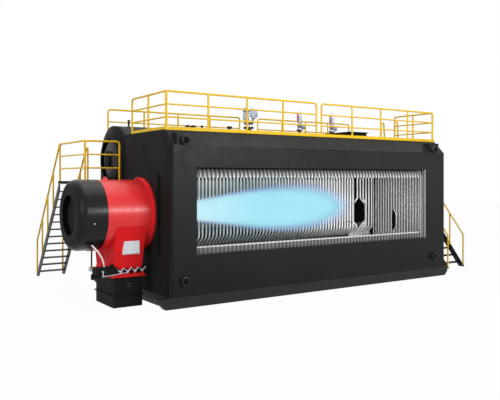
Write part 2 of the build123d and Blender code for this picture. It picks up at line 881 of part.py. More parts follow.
def roof_ladder(decks):
    """A steep ladder from the roof to the rear platform, with hooped handrails."""
    y0 = near + roof_rail_inset + rear_rail_width + ladder_gap
    top_x = rear + ladder_top_reach
    hoop_x = top_x + ladder_hoop_reach
    foot_x = rear + ladder_foot_reach
    foot_z = platform_z - rail_size / 2
    hoop_z = deck_z + ladder_hoop_rise
    root_z = deck_z + rail_size / 2
    pieces = []
    for y in (y0, y0 + ladder_width):
        route = [(rear - ladder_root, y, root_z), (top_x, y, root_z), (top_x, y, hoop_z),
                 (hoop_x, y, hoop_z), (foot_x, y, foot_z)]
        pieces += [bar(start, end) for start, end in zip(route, route[1:])]
    for index in range(1, ladder_steps):
        z = platform_z + (deck_z - platform_z) * index / ladder_steps
        x = foot_x + (hoop_x - foot_x) * (z - platform_z) / (hoop_z - platform_z)
        pieces.append(slab(x - ladder_tread / 2, x + ladder_tread / 2, y0, y0 + ladder_width,
                           z - ladder_tread_thick, z))
    return joined(pieces) - decks


def main_steam_valve(shell):
    base = drum_axis_z + drum_casing_radius - nozzle_sink
    return turned_z(steam_valve_profile, steam_valve_x, drum_axis_y, base) - shell


def safety_valve(x, shell):
    base = drum_axis_z + drum_casing_radius - nozzle_sink
    outlet_z = base + safety_outlet_z
    body = turned_z(safety_valve_profile, x, drum_axis_y, base)
    outlet = bar((x, drum_axis_y, outlet_z), (x + safety_outlet_reach, drum_axis_y, outlet_z),
                 safety_outlet_size, 8)
    return joined([body, outlet]) - shell


def flue_clear_way():
    """The x and y limits of the clear way inside the flue's plates."""
    return (flue_x + flue_plate, flue_x + flue_length - flue_plate, flue_y + flue_plate,
            flue_y + flue_width - flue_plate)


def flue_outlet():
    x1 = flue_x + flue_length
    y1 = flue_y + flue_width
    top = deck_z + flue_height
    duct = slab(flue_x, x1, flue_y, y1, deck_z, top)
    flange = slab(flue_x - flue_flange, x1 + flue_flange, flue_y - flue_flange, y1 + flue_flange,
                  top - flue_flange_thick, top)
    return joined([duct, flange]) - slab(*flue_clear_way(), deck_z, top)


def trunnions(envelope):
    """Round lifting pins near the corners of the near side, the upper ones in wedge housings."""
    pins = []
    for x, (x0, x1) in zip(pin_x, pin_housing_x):
        for z in (lower_pin_z, upper_pin_z):
            pin = Pos(x, near, z) * Rot(90, 0, 0) * Cylinder(pin_radius, 2 * pin_reach)
            pins.append(pin - envelope)
        housing = along_x([(near, side_top), (near, pin_housing_top),
                           (near + pin_housing_top - side_top, pin_housing_top)], x0, x1)
        pins[-1] = joined([pins[-1], housing])
    return pins


def drum_nozzles(shell):
    """Capped nozzles, manholes and a tee on the ridge of the drum casing."""
    base = drum_axis_z + drum_casing_radius - nozzle_sink
    return [turned_z(profile, front + x, drum_axis_y, base) - shell for x, profile in nozzles]


def save(name, *shapes):
    """Write one named piece, of one solid or several, to its own file."""
    solids = []
    for shape in shapes:
        solids += shape.solids()
    whole = Compound(solids) if len(solids) > 1 else solids[0]
    export_step(whole, f"parts/{name}.step")


os.makedirs("parts", exist_ok=True)

upper_drum = drum(steam_drum_radius, drum_axis_z)
lower_drum = drum(water_drum_radius, water_drum_z)
both_drums = [upper_drum, lower_drum]
crown_shell = disc_x(drum_axis_y, drum_axis_z, drum_casing_radius, front, rear)
envelope = extrude(end_outline(front), amount=body_length, dir=(1, 0, 0))
envelope += slab(front, rear, near, far, 0, skid_height)

save("skid_beams", *skid_beams())
save("skid_cross_members", *skid_cross_members())
save("casing_floor", casing_floor())
save("near_wall_lower", near_wall_lower())
save("near_wall_piers", *near_wall_piers())
save("near_wall_upper", near_wall_upper())
save("far_wall", far_wall())
save("roof_deck", *roof_deck())
save("drum_casing", drum_casing())
save("front_wall", front_wall())
save("rear_wall", rear_wall())
save("rear_access_door", rear_access_door())
save("steam_drum", upper_drum)
save("water_drum", lower_drum)
covers = [drum_cover(-1), drum_cover(1)]
save("drum_end_covers", *covers)
save("manhole_covers", *manhole_covers(both_drums))
save("trunnions", *trunnions(envelope))

save("division_wall_tubes", division_wall(both_drums))
save("exit_screen_tubes", *exit_screen(both_drums))
save("furnace_roof_tubes", roof_tubes(both_drums))
save("furnace_floor_tubes", floor_tubes(both_drums))
save("near_wall_bends", upper_bends(), lower_bends())
save("near_wall_tubes", *near_tubes())
save("end_tube_walls", front_tube_wall(), rear_tube_wall())
save("burner_throat", burner_throat())

shell = burner_shell()
cap = burner_cap()
hood = air_hood(shell)
eyes = [lifting_eye(front - x, shell) for x in eye_from_front]
save("burner_mount_plate", burner_mount_plate())
save("burner_body", joined([shell] + eyes))
save("burner_cap", cap)
save("air_hood", hood)
save("intake_box", intake_box())
save("junction_box", junction_box(shell, hood))
actuator = damper_actuator(hood)
save("damper_actuator", actuator)
save("damper_linkage", *damper_linkage(hood, actuator))
save("pilot_gas_train", pilot_gas_train([shell, cap], hood))
save("burner_hose", burner_hose(cap, actuator))

front_top_y = platform_y + platform_width
front_foot_y = front_top_y + stair_run
front_stair_x = front - platform_depth + stair_inset
rear_top_y = rear_stair_foot_y + stair_run
rear_stair_x = rear + rear_platform_depth + deck_clearance
landing_x = rear_stair_x + stair_width

front_deck = platform(front - platform_depth, front, platform_y, front_top_y)
rear_deck = platform(rear, rear + rear_platform_depth, rear_platform_y, far)
notch = cover_reach + deck_clearance
for face in (front, rear):
    cut = slab(face - notch, face + notch, drum_axis_y - drum_casing_radius, far + platform_width,
               platform_z - deck_thick, platform_z)
    front_deck -= cut
    rear_deck -= cut
landing = platform(rear + rear_platform_depth, landing_x, rear_top_y, far)
braces = [knee_brace(front, -platform_depth, platform_y + inset) for inset in knee_insets]
braces += [knee_brace(rear, rear_platform_depth, rear_platform_y + knee_rear_shift + inset)
           for inset in knee_insets]
legs = [slab(landing_x - landing_leg, landing_x, y, y + landing_leg, 0, platform_z - deck_thick)
        for y in (rear_top_y + landing_leg, far - landing_leg)]
decks = [front_deck, rear_deck, landing]
save("platform_decks", front_deck, rear_deck)
save("rear_landing", landing)
save("platform_supports", *[brace - covers for brace in braces], *legs)

front_stringers, front_treads = stair(front_stair_x, front_foot_y, front_top_y)
rear_stringers, rear_treads = stair(rear_stair_x, rear_stair_foot_y, rear_top_y)
save("stair_stringers", *front_stringers, *rear_stringers)
save("stair_treads", *front_treads, *rear_treads)

front_rail_x = front - platform_depth + rail_inset
front_rail_y = platform_y + rail_inset
outer_front = joined(rail_panel((front_rail_x, front_rail_y),
                                (front_rail_x, front_top_y - rail_inset), platform_z,
                                rail_height, 1))
side_front = joined(rail_panel((front - side_rail_start, front_rail_y), (front_rail_x, front_rail_y),
                               platform_z, rail_height, 1)) - outer_front
outer_rear_x = landing_x - rail_inset
rear_rail_y = far - rail_inset
outer_rear = joined(rail_panel((outer_rear_x, rear_top_y + rail_inset), (outer_rear_x, rear_rail_y),
                               platform_z, rail_height, 1))
side_rear = joined(rail_panel((rear + side_rail_start, rear_rail_y), (outer_rear_x, rear_rail_y),
                              platform_z, rail_height, 2)) - outer_rear
save("platform_rails_outer", outer_front, outer_rear)
save("platform_rails_side", side_front, side_rear)
front_handrails = stair_rails(front_stair_x, front_foot_y, front_top_y, front_stringers,
                              outer_front, 1)
rear_handrails = stair_rails(rear_stair_x, rear_stair_foot_y, rear_top_y, rear_stringers,
                             outer_rear, 0)
save("stair_rails", *front_handrails, *rear_handrails)

side_rails, end_rails = roof_rails()
save("roof_rail_side", *side_rails)
save("roof_rail_ends", *end_rails)
save("roof_rail_far", *far_rails(crown_shell))
save("kick_plates", *kick_plates())
save("roof_ladder", roof_ladder(decks))
save("main_steam_valve", main_steam_valve(crown_shell))
save("safety_valves", *[safety_valve(x, crown_shell) for x in safety_valve_x])
save("drum_nozzles", *drum_nozzles(crown_shell))
save("flue_outlet", flue_outlet())
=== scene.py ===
import math

import bpy
import bmesh
from mathutils import Matrix, Vector


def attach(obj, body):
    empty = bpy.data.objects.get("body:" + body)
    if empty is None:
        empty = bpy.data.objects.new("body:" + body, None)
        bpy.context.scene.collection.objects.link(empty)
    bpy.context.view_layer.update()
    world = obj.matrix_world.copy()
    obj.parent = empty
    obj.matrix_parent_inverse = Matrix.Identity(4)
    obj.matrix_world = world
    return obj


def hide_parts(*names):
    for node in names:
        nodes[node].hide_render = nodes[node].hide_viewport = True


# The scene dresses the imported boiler: round tubes and rails, seams, bolts, fittings and materials.
# X runs along the body towards the rear, the window side faces -Y, Z is up. Sizes are in metres.

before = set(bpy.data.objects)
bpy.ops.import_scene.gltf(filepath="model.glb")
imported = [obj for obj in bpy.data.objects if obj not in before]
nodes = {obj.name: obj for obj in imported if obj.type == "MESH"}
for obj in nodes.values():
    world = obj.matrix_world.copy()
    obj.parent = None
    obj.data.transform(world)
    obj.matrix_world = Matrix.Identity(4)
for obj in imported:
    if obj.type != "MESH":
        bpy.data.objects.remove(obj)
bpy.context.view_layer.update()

# Body. Each row of PINS is the x of a lifting pin and of the two ends of its housing.
FRONT, REAR = -5.2, 5.2
NEAR, FAR = -2.41, 2.41
SKID_TOP = 0.29
SIDE_TOP = 4.17
EDGE_CUT = 0.4
DECK = SIDE_TOP + EDGE_CUT
WINDOW_REAR, WINDOW_Z = 4.295, (1.335, 3.597)
PINS = ((-4.795, -5.0, -4.58), (4.64, 4.51, 4.93))
PIN_Z, PIN_R = (0.7, 4.285), 0.115
PIN_HOUSING_TOP = 4.49
FIRST_SEAM, PANEL_PITCH, PANEL_SEAMS = -4.383, 0.7325, 12
END_SEAM = 0.118
SEAM_HALF, SEAM_THICK = 0.0035, 0.004
PLATE_Y, PLATE_TOP, PLATE_CUT, PLATE_THICK = (-2.31, 0.41), 4.43, 0.33, 0.008

# Drums
DRUM_Y, DRUM_Z, DRUM_CASING_R = 1.39, 3.87, 1.02
DRUM_RIDGE = DRUM_Z + DRUM_CASING_R
CROWN_ARC = 137
WATER_DRUM_Z, WATER_DRUM_R = 1.08, 0.52

# Tubes of the roof, the floor and the near wall
TUBE_R = 0.03
PITCH = 0.13
TUBE_COUNT = 75
FIRST_X = -4.75
LAST_X = FIRST_X + (TUBE_COUNT - 1) * PITCH
NEAR_TUBE_Y = -2.25
TUBE_END_Y = DRUM_Y - 0.42
ROOF_Z, FLOOR_Z = 3.70, 1.12
UPPER_BEND, LOWER_BEND = 0.36, 0.25
WHOLE_FRONT, WHOLE_REAR = 3, 6
STUB_TOP, UPPER_CUT = 1.53, 3.34
CUT_BAND, RIM_R = 0.036, TUBE_R * 1.03
JAMB_TUBE_R, JAMB_TUBE_Y = 0.02, (-2.30, -2.385)
FIN_REACH, FIN_THICK = PITCH / 2 - TUBE_R * 0.9, 0.006

# Division wall and the exit screen at its end. Each bend is a tube's shift along X and Y.
DIVISION_Y, DIVISION_R, DIVISION_COUNT = 0.63, 0.031, 67
DIVISION_FIN_Z = (3.26, 1.75)
DIVISION_TURN_Z, DIVISION_ROUND = STUB_TOP - 0.07, 0.2
HEAD_Z, FOOT_Z = ROOF_Z - TUBE_R, FLOOR_Z + 2 * TUBE_R
FOOT_SHIFT = 0.33
SCREEN_FIRST, SCREEN_PITCH, SCREEN_ROUND = 4.055, 0.146, 0.12
SCREEN_BENDS = ((-0.15, 0.10), (0.385, 0.14), (0.205, 0.075), (0, 0), (0, 0), (0, 0))
SCREEN_Z = (1.50, 1.74, 2.34, 2.57)

# End walls, with the access opening in the rear one
END_TUBES, END_R = 21, 0.02
ACCESS_Y, ACCESS_Z = -0.495, (1.45, 1.56, 2.03, 2.14)
ACCESS_SHIFT, ACCESS_ROUND = (0.055, 0.165), 0.15
DOOR_Z = (ACCESS_Z[0] + ACCESS_Z[-1]) / 2
DOOR_BOLTS, DOOR_BOLT_REACH = 10, (0.2, 0.31)
HINGE_Z = (1.52, 1.98)

# Burner
BURNER_Y, BURNER_Z = -0.81, 2.37
THROAT_R = 0.65
MOUNT_FACE = FRONT - 0.07
RING_FACE = MOUNT_FACE - 0.06
RING_BOLTS, RING_BOLT_R = 24, 0.936
BODY_END = MOUNT_FACE - 1.27
CAP_END = BODY_END - 0.72
CAP_R, CAP_ROUND, CAP_RECESS_R = 0.915, 0.2, 0.52
CAP_SKIN = 0.0002
RECESS_FACE = CAP_END + 0.15
CAP_SCREW = (-6.896, -1.71, 2.19)
HOOD_X = (-6.30, -5.51)
HOOD_Y = (-1.435, -0.185)
FLANGE_Z = 0.81
LEVER_X = [-6.155 + 0.2 * k for k in range(4)]
BOX_X, BOX_Z, BOX_FACE = (-6.10, -5.63), (1.365, 1.80), -1.585
GAS_VALVE = (0, -0.75, 0.95)

# Flame
FLAME_VEILS = 12
FLAME_START, FLAME_HOT = -4.72, (-4.6, -1.8)
FLAME_WIDTH = 1.05

# Platforms and stairs. Each stair is the x of its two rails, the y of its foot and its way up.
PLATFORM_Z = 3.23
PLATFORM_RAIL = 1.132
FRONT_RAIL = ((-5.38, 0.435), (-6.395, 0.435), (-6.395, 2.695))
REAR_RAIL = ((5.38, 2.365), (7.515, 2.365), (7.515, 1.15))
STAIRS = ((-6.39, -5.52, 5.29, -1), (7.545, 6.675, -1.445, 1))
STAIR_RUN, STAIR_RISES = 2.55, 13
STAIR_SLOPE = PLATFORM_Z / STAIR_RUN
STAIR_POSTS = (0.06, 1.885)
INNER_RAIL_DROP = 0.09
TREAD_DROP = 0.2 / 3

# Rails
RAIL_BARS = 3
POST_R, BAR_R, CORNER_POST_R = 0.028, 0.022, 0.034
ROOF_RAIL = 1.005
ROOF_RAIL_X, ROOF_RAIL_Y = (-5.083, 5.1415), -1.97
ROOF_RAIL_GAP = (-0.0708, 0.1293)
ROOF_RAIL_ENDS = (0.214, -0.2)
FAR_RAIL, FAR_RAIL_Y, FAR_RAIL_BASE = 0.885, 2.09, 4.6
FAR_RAIL_SPANS = ((-5.083, -0.21), (0.56, 4.97))
LADDER_X, LADDER_Y = 5.53, (-0.13, 0.56)

# Fittings on the drum's ridge and the flue
VALVE_X = (1.92, 3.46)
VESSEL_X = -0.30
DOMED_STUBS_X = (-2.66, -2.456)
FLAT_STUBS = ((-4.69, 0.2, 0.045), (-2.133, 0.15, 0.045), (-1.067, 0.17, 0.085))
FLUE_X, FLUE_Y, FLUE_RIM = (2.16, 2.92), (-1.025, 0.39), 0.045

# Camera
CAMERA_PLACE = (-12.389, -16.8, 3.32)
CAMERA_TURN = -33.743
CAMERA_LENS, CAMERA_SHIFT = 45.73, -0.0438


# Materials

def empty_material(name):
    """A new material, its node tree and its bare output."""
    material = bpy.data.materials.new(name)
    material.use_nodes = True
    tree = material.node_tree
    tree.nodes.clear()
    return material, tree, tree.nodes.new("ShaderNodeOutputMaterial")


def plain_material(name):
    """A new material, its node tree and its only shader."""
    material, tree, output = empty_material(name)
    shader = tree.nodes.new("ShaderNodeBsdfPrincipled")
    tree.links.new(shader.outputs[0], output.inputs[0])
    return material, tree, shader


def noise(tree, scale, detail, stretch):
    """Noise over the object's own coordinates, stretched along any axis."""
    place = tree.nodes.new("ShaderNodeTexCoord")
    mapping = tree.nodes.new("ShaderNodeMapping")
    mapping.inputs["Scale"].default_value = stretch
    texture = tree.nodes.new("ShaderNodeTexNoise")
    texture.inputs["Scale"].default_value = scale
    texture.inputs["Detail"].default_value = detail
    tree.links.new(place.outputs["Object"], mapping.inputs["Vector"])
    tree.links.new(mapping.outputs["Vector"], texture.inputs["Vector"])
    return texture.outputs["Fac"]


def ramp(tree, fac, low, high, start=0.35, end=0.65):
    """Turn a factor into a colour or grey between two values."""
    node = tree.nodes.new("ShaderNodeValToRGB")
    node.color_ramp.elements[0].position = start
    node.color_ramp.elements[1].position = end
    node.color_ramp.elements[0].color = (*low, 1)
    node.color_ramp.elements[1].color = (*high, 1)
    tree.links.new(fac, node.inputs["Fac"])
    return node.outputs["Color"]


def gradient(tree, axis, start, end):
    """A factor that runs from 0 to 1 between two places on one of the object's own axes."""
    place = tree.nodes.new("ShaderNodeTexCoord")
    split = tree.nodes.new("ShaderNodeSeparateXYZ")
    span = tree.nodes.new("ShaderNodeMapRange")
    span.inputs["From Min"].default_value = start
    span.inputs["From Max"].default_value = end
    tree.links.new(place.outputs["Object"], split.inputs[0])
    tree.links.new(split.outputs[axis], span.inputs["Value"])
    return span.outputs["Result"]


def multiplied(tree, colour, by):
    mix = tree.nodes.new("ShaderNodeVectorMath")
    mix.operation = "MULTIPLY"
    tree.links.new(colour, mix.inputs[0])
    tree.links.new(by, mix.inputs[1])
    return mix.outputs[0]


def relief(tree, shader, height, strength, distance):
    """Shade a surface as if a height raised and sank it."""
    bump = tree.nodes.new("ShaderNodeBump")
    bump.inputs["Strength"].default_value = strength
    bump.inputs["Distance"].default_value = distance
    tree.links.new(height, bump.inputs["Height"])
    tree.links.new(bump.outputs[0], shader.inputs["Normal"])


def grey(value):
    return (value, value, value)


def shaded(colour, change):
    return tuple(min(1.0, max(0.0, part * change)) for part in colour)


def finish(name, colour, rough, spread=0.08, vary=0.12, metallic=0.0, specular=0.5, patch=1.6,
           grain=140.0, bump=0.04, stretch=(1, 1, 1), painted_shade=None):
    """A paint or metal with uneven colour, uneven gloss and a fine grain, and where asked with
    painted shade.

    The last argument paints shade into the colour, as (z where the painted shade starts, z of the
    full colour, share of the colour at the start).
    """
    material, tree, shader = plain_material(name)
    cloud = noise(tree, patch, 4.0, stretch)
    tint = ramp(tree, cloud, shaded(colour, 1 - vary), shaded(colour, 1 + vary))
    # Painted shade: the colour darkens towards one z, standing in for shade.
    if painted_shade:
        start, full, left = painted_shade
        share = ramp(tree, gradient(tree, "Z", start, full), grey(left), grey(1), 0, 1)
        tint = multiplied(tree, tint, share)
    tree.links.new(tint, shader.inputs["Base Color"])
    gloss = ramp(tree, noise(tree, patch * 4, 5.0, stretch), grey(rough - spread),
                 grey(rough + spread))
    tree.links.new(gloss, shader.inputs["Roughness"])
    relief(tree, shader, noise(tree, grain, 2.0, stretch), bump, 0.004)
    shader.inputs["Metallic"].default_value = metallic
    shader.inputs["Specular IOR Level"].default_value = specular
    return material


# Painted shade: the casing's colour falls to half towards the bottom, standing in for less light on
# the lower wall.
CASING_PAINT = finish("casing_paint", (0.0235, 0.0243, 0.026), 0.42, vary=0.08, specular=0.11,
                      patch=0.7, painted_shade=(0.3, 3.6, 0.5))
FRONT_PAINT = finish("front_paint", (0.0175, 0.0172, 0.0176), 0.45, specular=0.02, patch=0.7)
SATIN_BLACK = finish("satin_black", (0.0155, 0.0157, 0.0165), 0.55, specular=0.02)
SKID_PAINT = finish("skid_paint", (0.013, 0.013, 0.014), 0.5, specular=0.25)
SEAM_PAINT = finish("seam_paint", (0.007, 0.007, 0.0075), 0.5, specular=0.2)
DRUM_PAINT = finish("drum_paint", (0.018, 0.0185, 0.02), 0.4, specular=0.2)
BLACK_GLOSS = finish("burner_black", (0.0055, 0.0055, 0.0065), 0.28, spread=0.04, specular=0.22)
STAIR_PAINT = finish("stair_paint", (0.012, 0.012, 0.014), 0.45, specular=0.3)
PIN_PAINT = finish("pin_paint", (0.014, 0.0142, 0.015), 0.3, specular=0.45)
# Painted shade: near black for the discs on the pins' ends, standing in for the shade inside a
# recess.
BORE_SHADE = finish("inside_dark", (0.006, 0.006, 0.006), 0.8, specular=0.1)
RED_PAINT = finish("burner_red", (0.88, 0.026, 0.03), 0.30, spread=0.04, vary=0.03,
                   specular=0.45, bump=0.01)
HOOD_RED = finish("hood_red", (0.85, 0.02, 0.023), 0.45, vary=0.03, specular=0.02, bump=0.02)
RAIL_PAINT = finish("rail_yellow", (0.98, 0.62, 0.016), 0.4, vary=0.05, specular=0.12, patch=3.0)
VALVE_YELLOW = finish("valve_yellow", (0.9, 0.62, 0.03), 0.35, vary=0.05, patch=6.0)
WHITE_PAINT = finish("box_white", (0.78, 0.80, 0.87), 0.45, vary=0.03, patch=3.0, specular=0.2)
# Painted highlight: a brighter copy of the box's white for its rim, standing in for light on the
# bevel.
RIM_HIGHLIGHT_WHITE = finish("box_rim_painted_highlight", (0.98, 1.0, 1.0), 0.3, vary=0.02, patch=3.0)
TUBE_STEEL = finish("tube_steel", (0.84, 0.84, 0.82), 0.38, vary=0.04, metallic=0.1, patch=1.2,
                    stretch=(1, 1, 0.25))
# Painted shade: the division tubes darken towards their feet, where shade falls.
DIVISION_STEEL = finish("division_steel", (0.84, 0.84, 0.82), 0.38, vary=0.04, metallic=0.1,
                        patch=1.2, stretch=(1, 1, 0.25), painted_shade=(1.2, 1.55, 0.4))
# Painted shade: a much darker copy of the tube steel for the stubs below the window, standing in for
# their shade.
SHADED_NEAR_STEEL = finish("near_steel", (0.27, 0.27, 0.265), 0.42, vary=0.08, metallic=0.2, patch=1.2,
                    stretch=(1, 1, 0.25), specular=0.3)
PALE_STEEL = finish("pale_steel", (0.52, 0.52, 0.51), 0.42, vary=0.06, patch=1.2, specular=0.3)
# Painted shade: the roof tubes' bends darken nearly to black towards the window's top, in the
# casing's shade.
ROOF_STEEL = finish("roof_steel", (0.75, 0.75, 0.73), 0.42, vary=0.06, metallic=0.1, patch=1.2,
                    specular=0.3, painted_shade=(3.61, 3.37, 0.07))
END_STEEL = finish("end_steel", (0.62, 0.62, 0.61), 0.55, vary=0.04, patch=1.2, specular=0.15,
                   bump=0.0)
SHELL_STEEL = finish("shell_steel", (0.45, 0.45, 0.45), 0.45, metallic=0.2, patch=1.2)
CUT_STEEL = finish("cut_steel", (0.97, 0.97, 0.96), 0.4, vary=0.02)
EDGE_STEEL = finish("edge_steel", (0.62, 0.62, 0.61), 0.45, vary=0.05)
# Painted shade: the fins between tubes are the tubes' steel painted far darker, standing in for the
# shade between the tubes.
SHADED_FIN_STEEL = finish("fin_steel", (0.10, 0.10, 0.10), 0.5, metallic=0.3, patch=1.2)
SHADED_WALL_FIN = finish("wall_fin", (0.13, 0.13, 0.13), 0.45, metallic=0.3, patch=1.2)
SHADED_END_FIN = finish("end_fin", (0.17, 0.17, 0.17), 0.6, vary=0.05, patch=1.2, specular=0.05, bump=0.0)
SILVER = finish("valve_silver", (0.50, 0.55, 0.66), 0.25, metallic=0.55, patch=6.0)
ZINC = finish("link_zinc", (0.52, 0.66, 0.7), 0.4, metallic=0.35, patch=8.0)
CONDUIT = finish("conduit_white", (0.92, 0.92, 0.90), 0.4, vary=0.03, metallic=0.5)
BOLT_STEEL = finish("bolt_steel", (0.05, 0.05, 0.055), 0.4, metallic=0.6, patch=8.0)
REFRACTORY = finish("refractory", (0.42, 0.38, 0.33), 0.85, vary=0.15, patch=5.0, grain=60.0,
                    bump=0.35, specular=0.2)


def grating_material():
    """Dark steel with rows of small holes, as an open grating looks from a little way off."""
    material, tree, shader = plain_material("grating")
    place = tree.nodes.new("ShaderNodeTexCoord")
    bricks = tree.nodes.new("ShaderNodeTexBrick")
    bricks.offset = 0.0
    bricks.inputs["Scale"].default_value = 1.0
    bricks.inputs["Color1"].default_value = (0.002, 0.002, 0.002, 1)
    bricks.inputs["Color2"].default_value = (0.003, 0.003, 0.003, 1)
    bricks.inputs["Mortar"].default_value = (0.03, 0.03, 0.033, 1)
    bricks.inputs["Mortar Size"].default_value = 0.006
    bricks.inputs["Brick Width"].default_value = 0.1
    bricks.inputs["Row Height"].default_value = 0.035
    tree.links.new(place.outputs["Object"], bricks.inputs["Vector"])
    tree.links.new(bricks.outputs["Color"], shader.inputs["Base Color"])
    relief(tree, shader, bricks.outputs["Fac"], 0.6, 0.01)
    shader.inputs["Roughness"].default_value = 0.5
    shader.inputs["Specular IOR Level"].default_value = 0.3
    return material


GRATING = grating_material()


def flame_material(level):
    """One veil of the flame: light of its own, mostly clear, denser and greener further in."""
    material, tree, output = empty_material(f"flame_veil_{level}")
    blend = tree.nodes.new("ShaderNodeMixShader")
    clear = tree.nodes.new("ShaderNodeBsdfTransparent")
    glow = tree.nodes.new("ShaderNodeEmission")
    share = level / (FLAME_VEILS - 1)
    outer, inner = Vector((0.42, 0.53, 1.0)), Vector((0.42, 0.97, 1.0))
    cool = outer.lerp(inner, min(1.0, share * 3))
    hot = cool.lerp(Vector((0.75, 0.93, 1.0)), 0.8)
    tint = ramp(tree, gradient(tree, "X", *FLAME_HOT), hot, cool, 0, 1)
    tree.links.new(tint, glow.inputs["Color"])
    glow.inputs["Strength"].default_value = 1.04
    thin, dense = 0.04 + 0.26 * share, 0.10 + 0.40 * share
    body = ramp(tree, noise(tree, 1.1, 3.0, (0.5, 1, 1)), grey(thin), grey(dense), 0.2, 0.8)
    tree.links.new(body, blend.inputs[0])
    tree.links.new(clear.outputs[0], blend.inputs[1])
    tree.links.new(glow.outputs[0], blend.inputs[2])
    tree.links.new(blend.outputs[0], output.inputs[0])
    return material


# Shapes, each a pair of vertices and faces

BEND_STEPS = 5


def lofted(rings, ends="capped"):
    """A skin over rings of points, with its two ends capped, open or joined to each other."""
    count = len(rings[0])
    vertices = [Vector(point) for ring in rings for point in ring]
    faces = []
    for level in range(len(rings) - (ends != "joined")):
        below, above = level * count, (level + 1) % len(rings) * count
        for k in range(count):
            after = (k + 1) % count
            faces.append((below + k, below + after, above + after, above + k))
    if ends == "capped":
        faces.append(tuple(reversed(range(count))))
        faces.append(tuple(len(vertices) - count + k for k in range(count)))
    return vertices, faces


def merged(parts):
    """Several shapes as one."""
    vertices, faces = [], []
    for some_vertices, some_faces in parts:
        base = len(vertices)
        vertices += some_vertices
        faces += [tuple(base + k for k in face) for face in some_faces]
    return vertices, faces


def block(low, high):
    """A rectangular block between two corners."""
    (x0, y0, z0), (x1, y1, z1) = low, high
    outline = ((x0, y0), (x1, y0), (x1, y1), (x0, y1))
    return lofted([[(x, y, z) for x, y in outline] for z in (z0, z1)])


def prism(outline, start, end, axis="X"):
    """A flat outline carried along X or Y. Its points run clockwise, seen from the end."""
    if axis == "X":
        return lofted([[(place, y, z) for y, z in outline] for place in (end, start)])
    return lofted([[(x, place, z) for x, z in outline] for place in (end, start)])


def turned(profile, centre, axis="X", sides=48, joined=False):
    """A profile of (distance along the axis, radius) turned round an axis."""
    rings = []
    for distance, radius in profile:
        ring = []
        for k in range(sides):
            turn = 2 * math.pi * k / sides
            u, v = radius * math.cos(turn), radius * math.sin(turn)
            local = {"X": (distance, u, v), "Y": (u, distance, v), "Z": (u, v, distance)}[axis]
            ring.append(Vector(centre) + Vector(local))
        rings.append(ring)
    return lofted(rings, "joined" if joined else "open")


def rounded(points, radius):
    """A path with each inner corner rounded off to the given radius."""
    points = [Vector(p) for p in points]
    path = [points[0]]
    for before, corner, after in zip(points, points[1:], points[2:]):
        into, out = (corner - before).normalized(), (after - corner).normalized()
        angle = into.angle(out)
        if angle < 0.02:
            path.append(corner)
            continue
        reach = min(radius * math.tan(angle / 2), (corner - before).length * 0.49,
                    (after - corner).length * 0.49)
        bend = reach / math.tan(angle / 2)
        centre = corner + (out - into).normalized() * bend / math.cos(angle / 2)
        first = corner - into * reach - centre
        axis = into.cross(out).normalized()
        for step in range(BEND_STEPS + 1):
            path.append(centre + Matrix.Rotation(angle * step / BEND_STEPS, 3, axis) @ first)
    path.append(points[-1])
    return path


def tube(path, radius, sides):
    """A round tube with flat ends along a path."""
    path = [Vector(p) for p in path]
    turns = [2 * math.pi * (k + 0.5) / sides for k in range(sides)]
    rings, side = [], None
    for index, point in enumerate(path):
        steps = []
        if index:
            steps.append((point - path[index - 1]).normalized())
        if index < len(path) - 1:
            steps.append((path[index + 1] - point).normalized())
        run = sum(steps, Vector()).normalized()
        if side is None:
            side = run.orthogonal().normalized()
        side = (side - run * side.dot(run)).normalized()
        other = run.cross(side)
        rings.append([point + radius * (math.cos(turn) * side + math.sin(turn) * other)
                      for turn in turns])
    return lofted(rings)


def sweep(paths, radius, sides=10):
    return merged([tube(path, radius, sides) for path in paths])


def arc(centre, radius, start, end, steps):
    """Points of an arc in the (y, z) plane, in degrees."""
    angles = [math.radians(start + (end - start) * k / steps) for k in range(steps + 1)]
    return [(centre[0] + radius * math.cos(a), centre[1] + radius * math.sin(a)) for a in angles]


def ring_of(count, centre, reach, axis="X", start=0.0):
    """Places on a circle or ellipse round a centre, across the X or Z axis."""
    x, y, z = centre
    places = []
    for k in range(count):
        turn = 2 * math.pi * (k + start) / count
        u, v = reach[0] * math.cos(turn), reach[1] * math.sin(turn)
        places.append((x, y + u, z + v) if axis == "X" else (x + u, y + v, z))
    return places


def strips(places, outline, half_width, across="X", thick=FIN_THICK):
    """Thin strips across X that follow an outline of (y, z), or across Y and one of (x, z)."""
    parts = []
    for place in places:
        rings = []
        for index, (flat, z) in enumerate(outline):
            before = outline[max(index - 1, 0)]
            after = outline[min(index + 1, len(outline) - 1)]
            run = Vector((0, after[0] - before[0], after[1] - before[1])).normalized()
            out = Vector((0, -run.z, run.y)) * thick / 2
            ring = []
            for side, way in ((-1, 1), (1, 1), (1, -1), (-1, -1)):
                if across == "X":
                    ring.append(Vector((place + side * half_width, flat, z)) + out * way)
                else:
                    ring.append((flat + way * thick / 2, place + side * half_width, z))
            rings.append(ring)
        parts.append(lofted(rings))
    return merged(parts)


# Pieces

def mesh_from(name, shape, welded=False):
    """A mesh of a shape, with the points that touch welded into one where asked."""
    vertices, faces = shape
    mesh = bpy.data.meshes.new(name)
    mesh.from_pydata([tuple(v) for v in vertices], [], faces)
    mesh.validate()
    if welded:
        work = bmesh.new()
        work.from_mesh(mesh)
        bmesh.ops.remove_doubles(work, verts=work.verts, dist=0.00005)
        bmesh.ops.recalc_face_normals(work, faces=work.faces)
        work.to_mesh(mesh)
        work.free()
    mesh.update()
    return mesh


def placed(name, data):
    """A new object of the scene with the given mesh, lamp or camera."""
    thing = bpy.data.objects.new(name, data)
    bpy.context.scene.collection.objects.link(thing)
    return thing


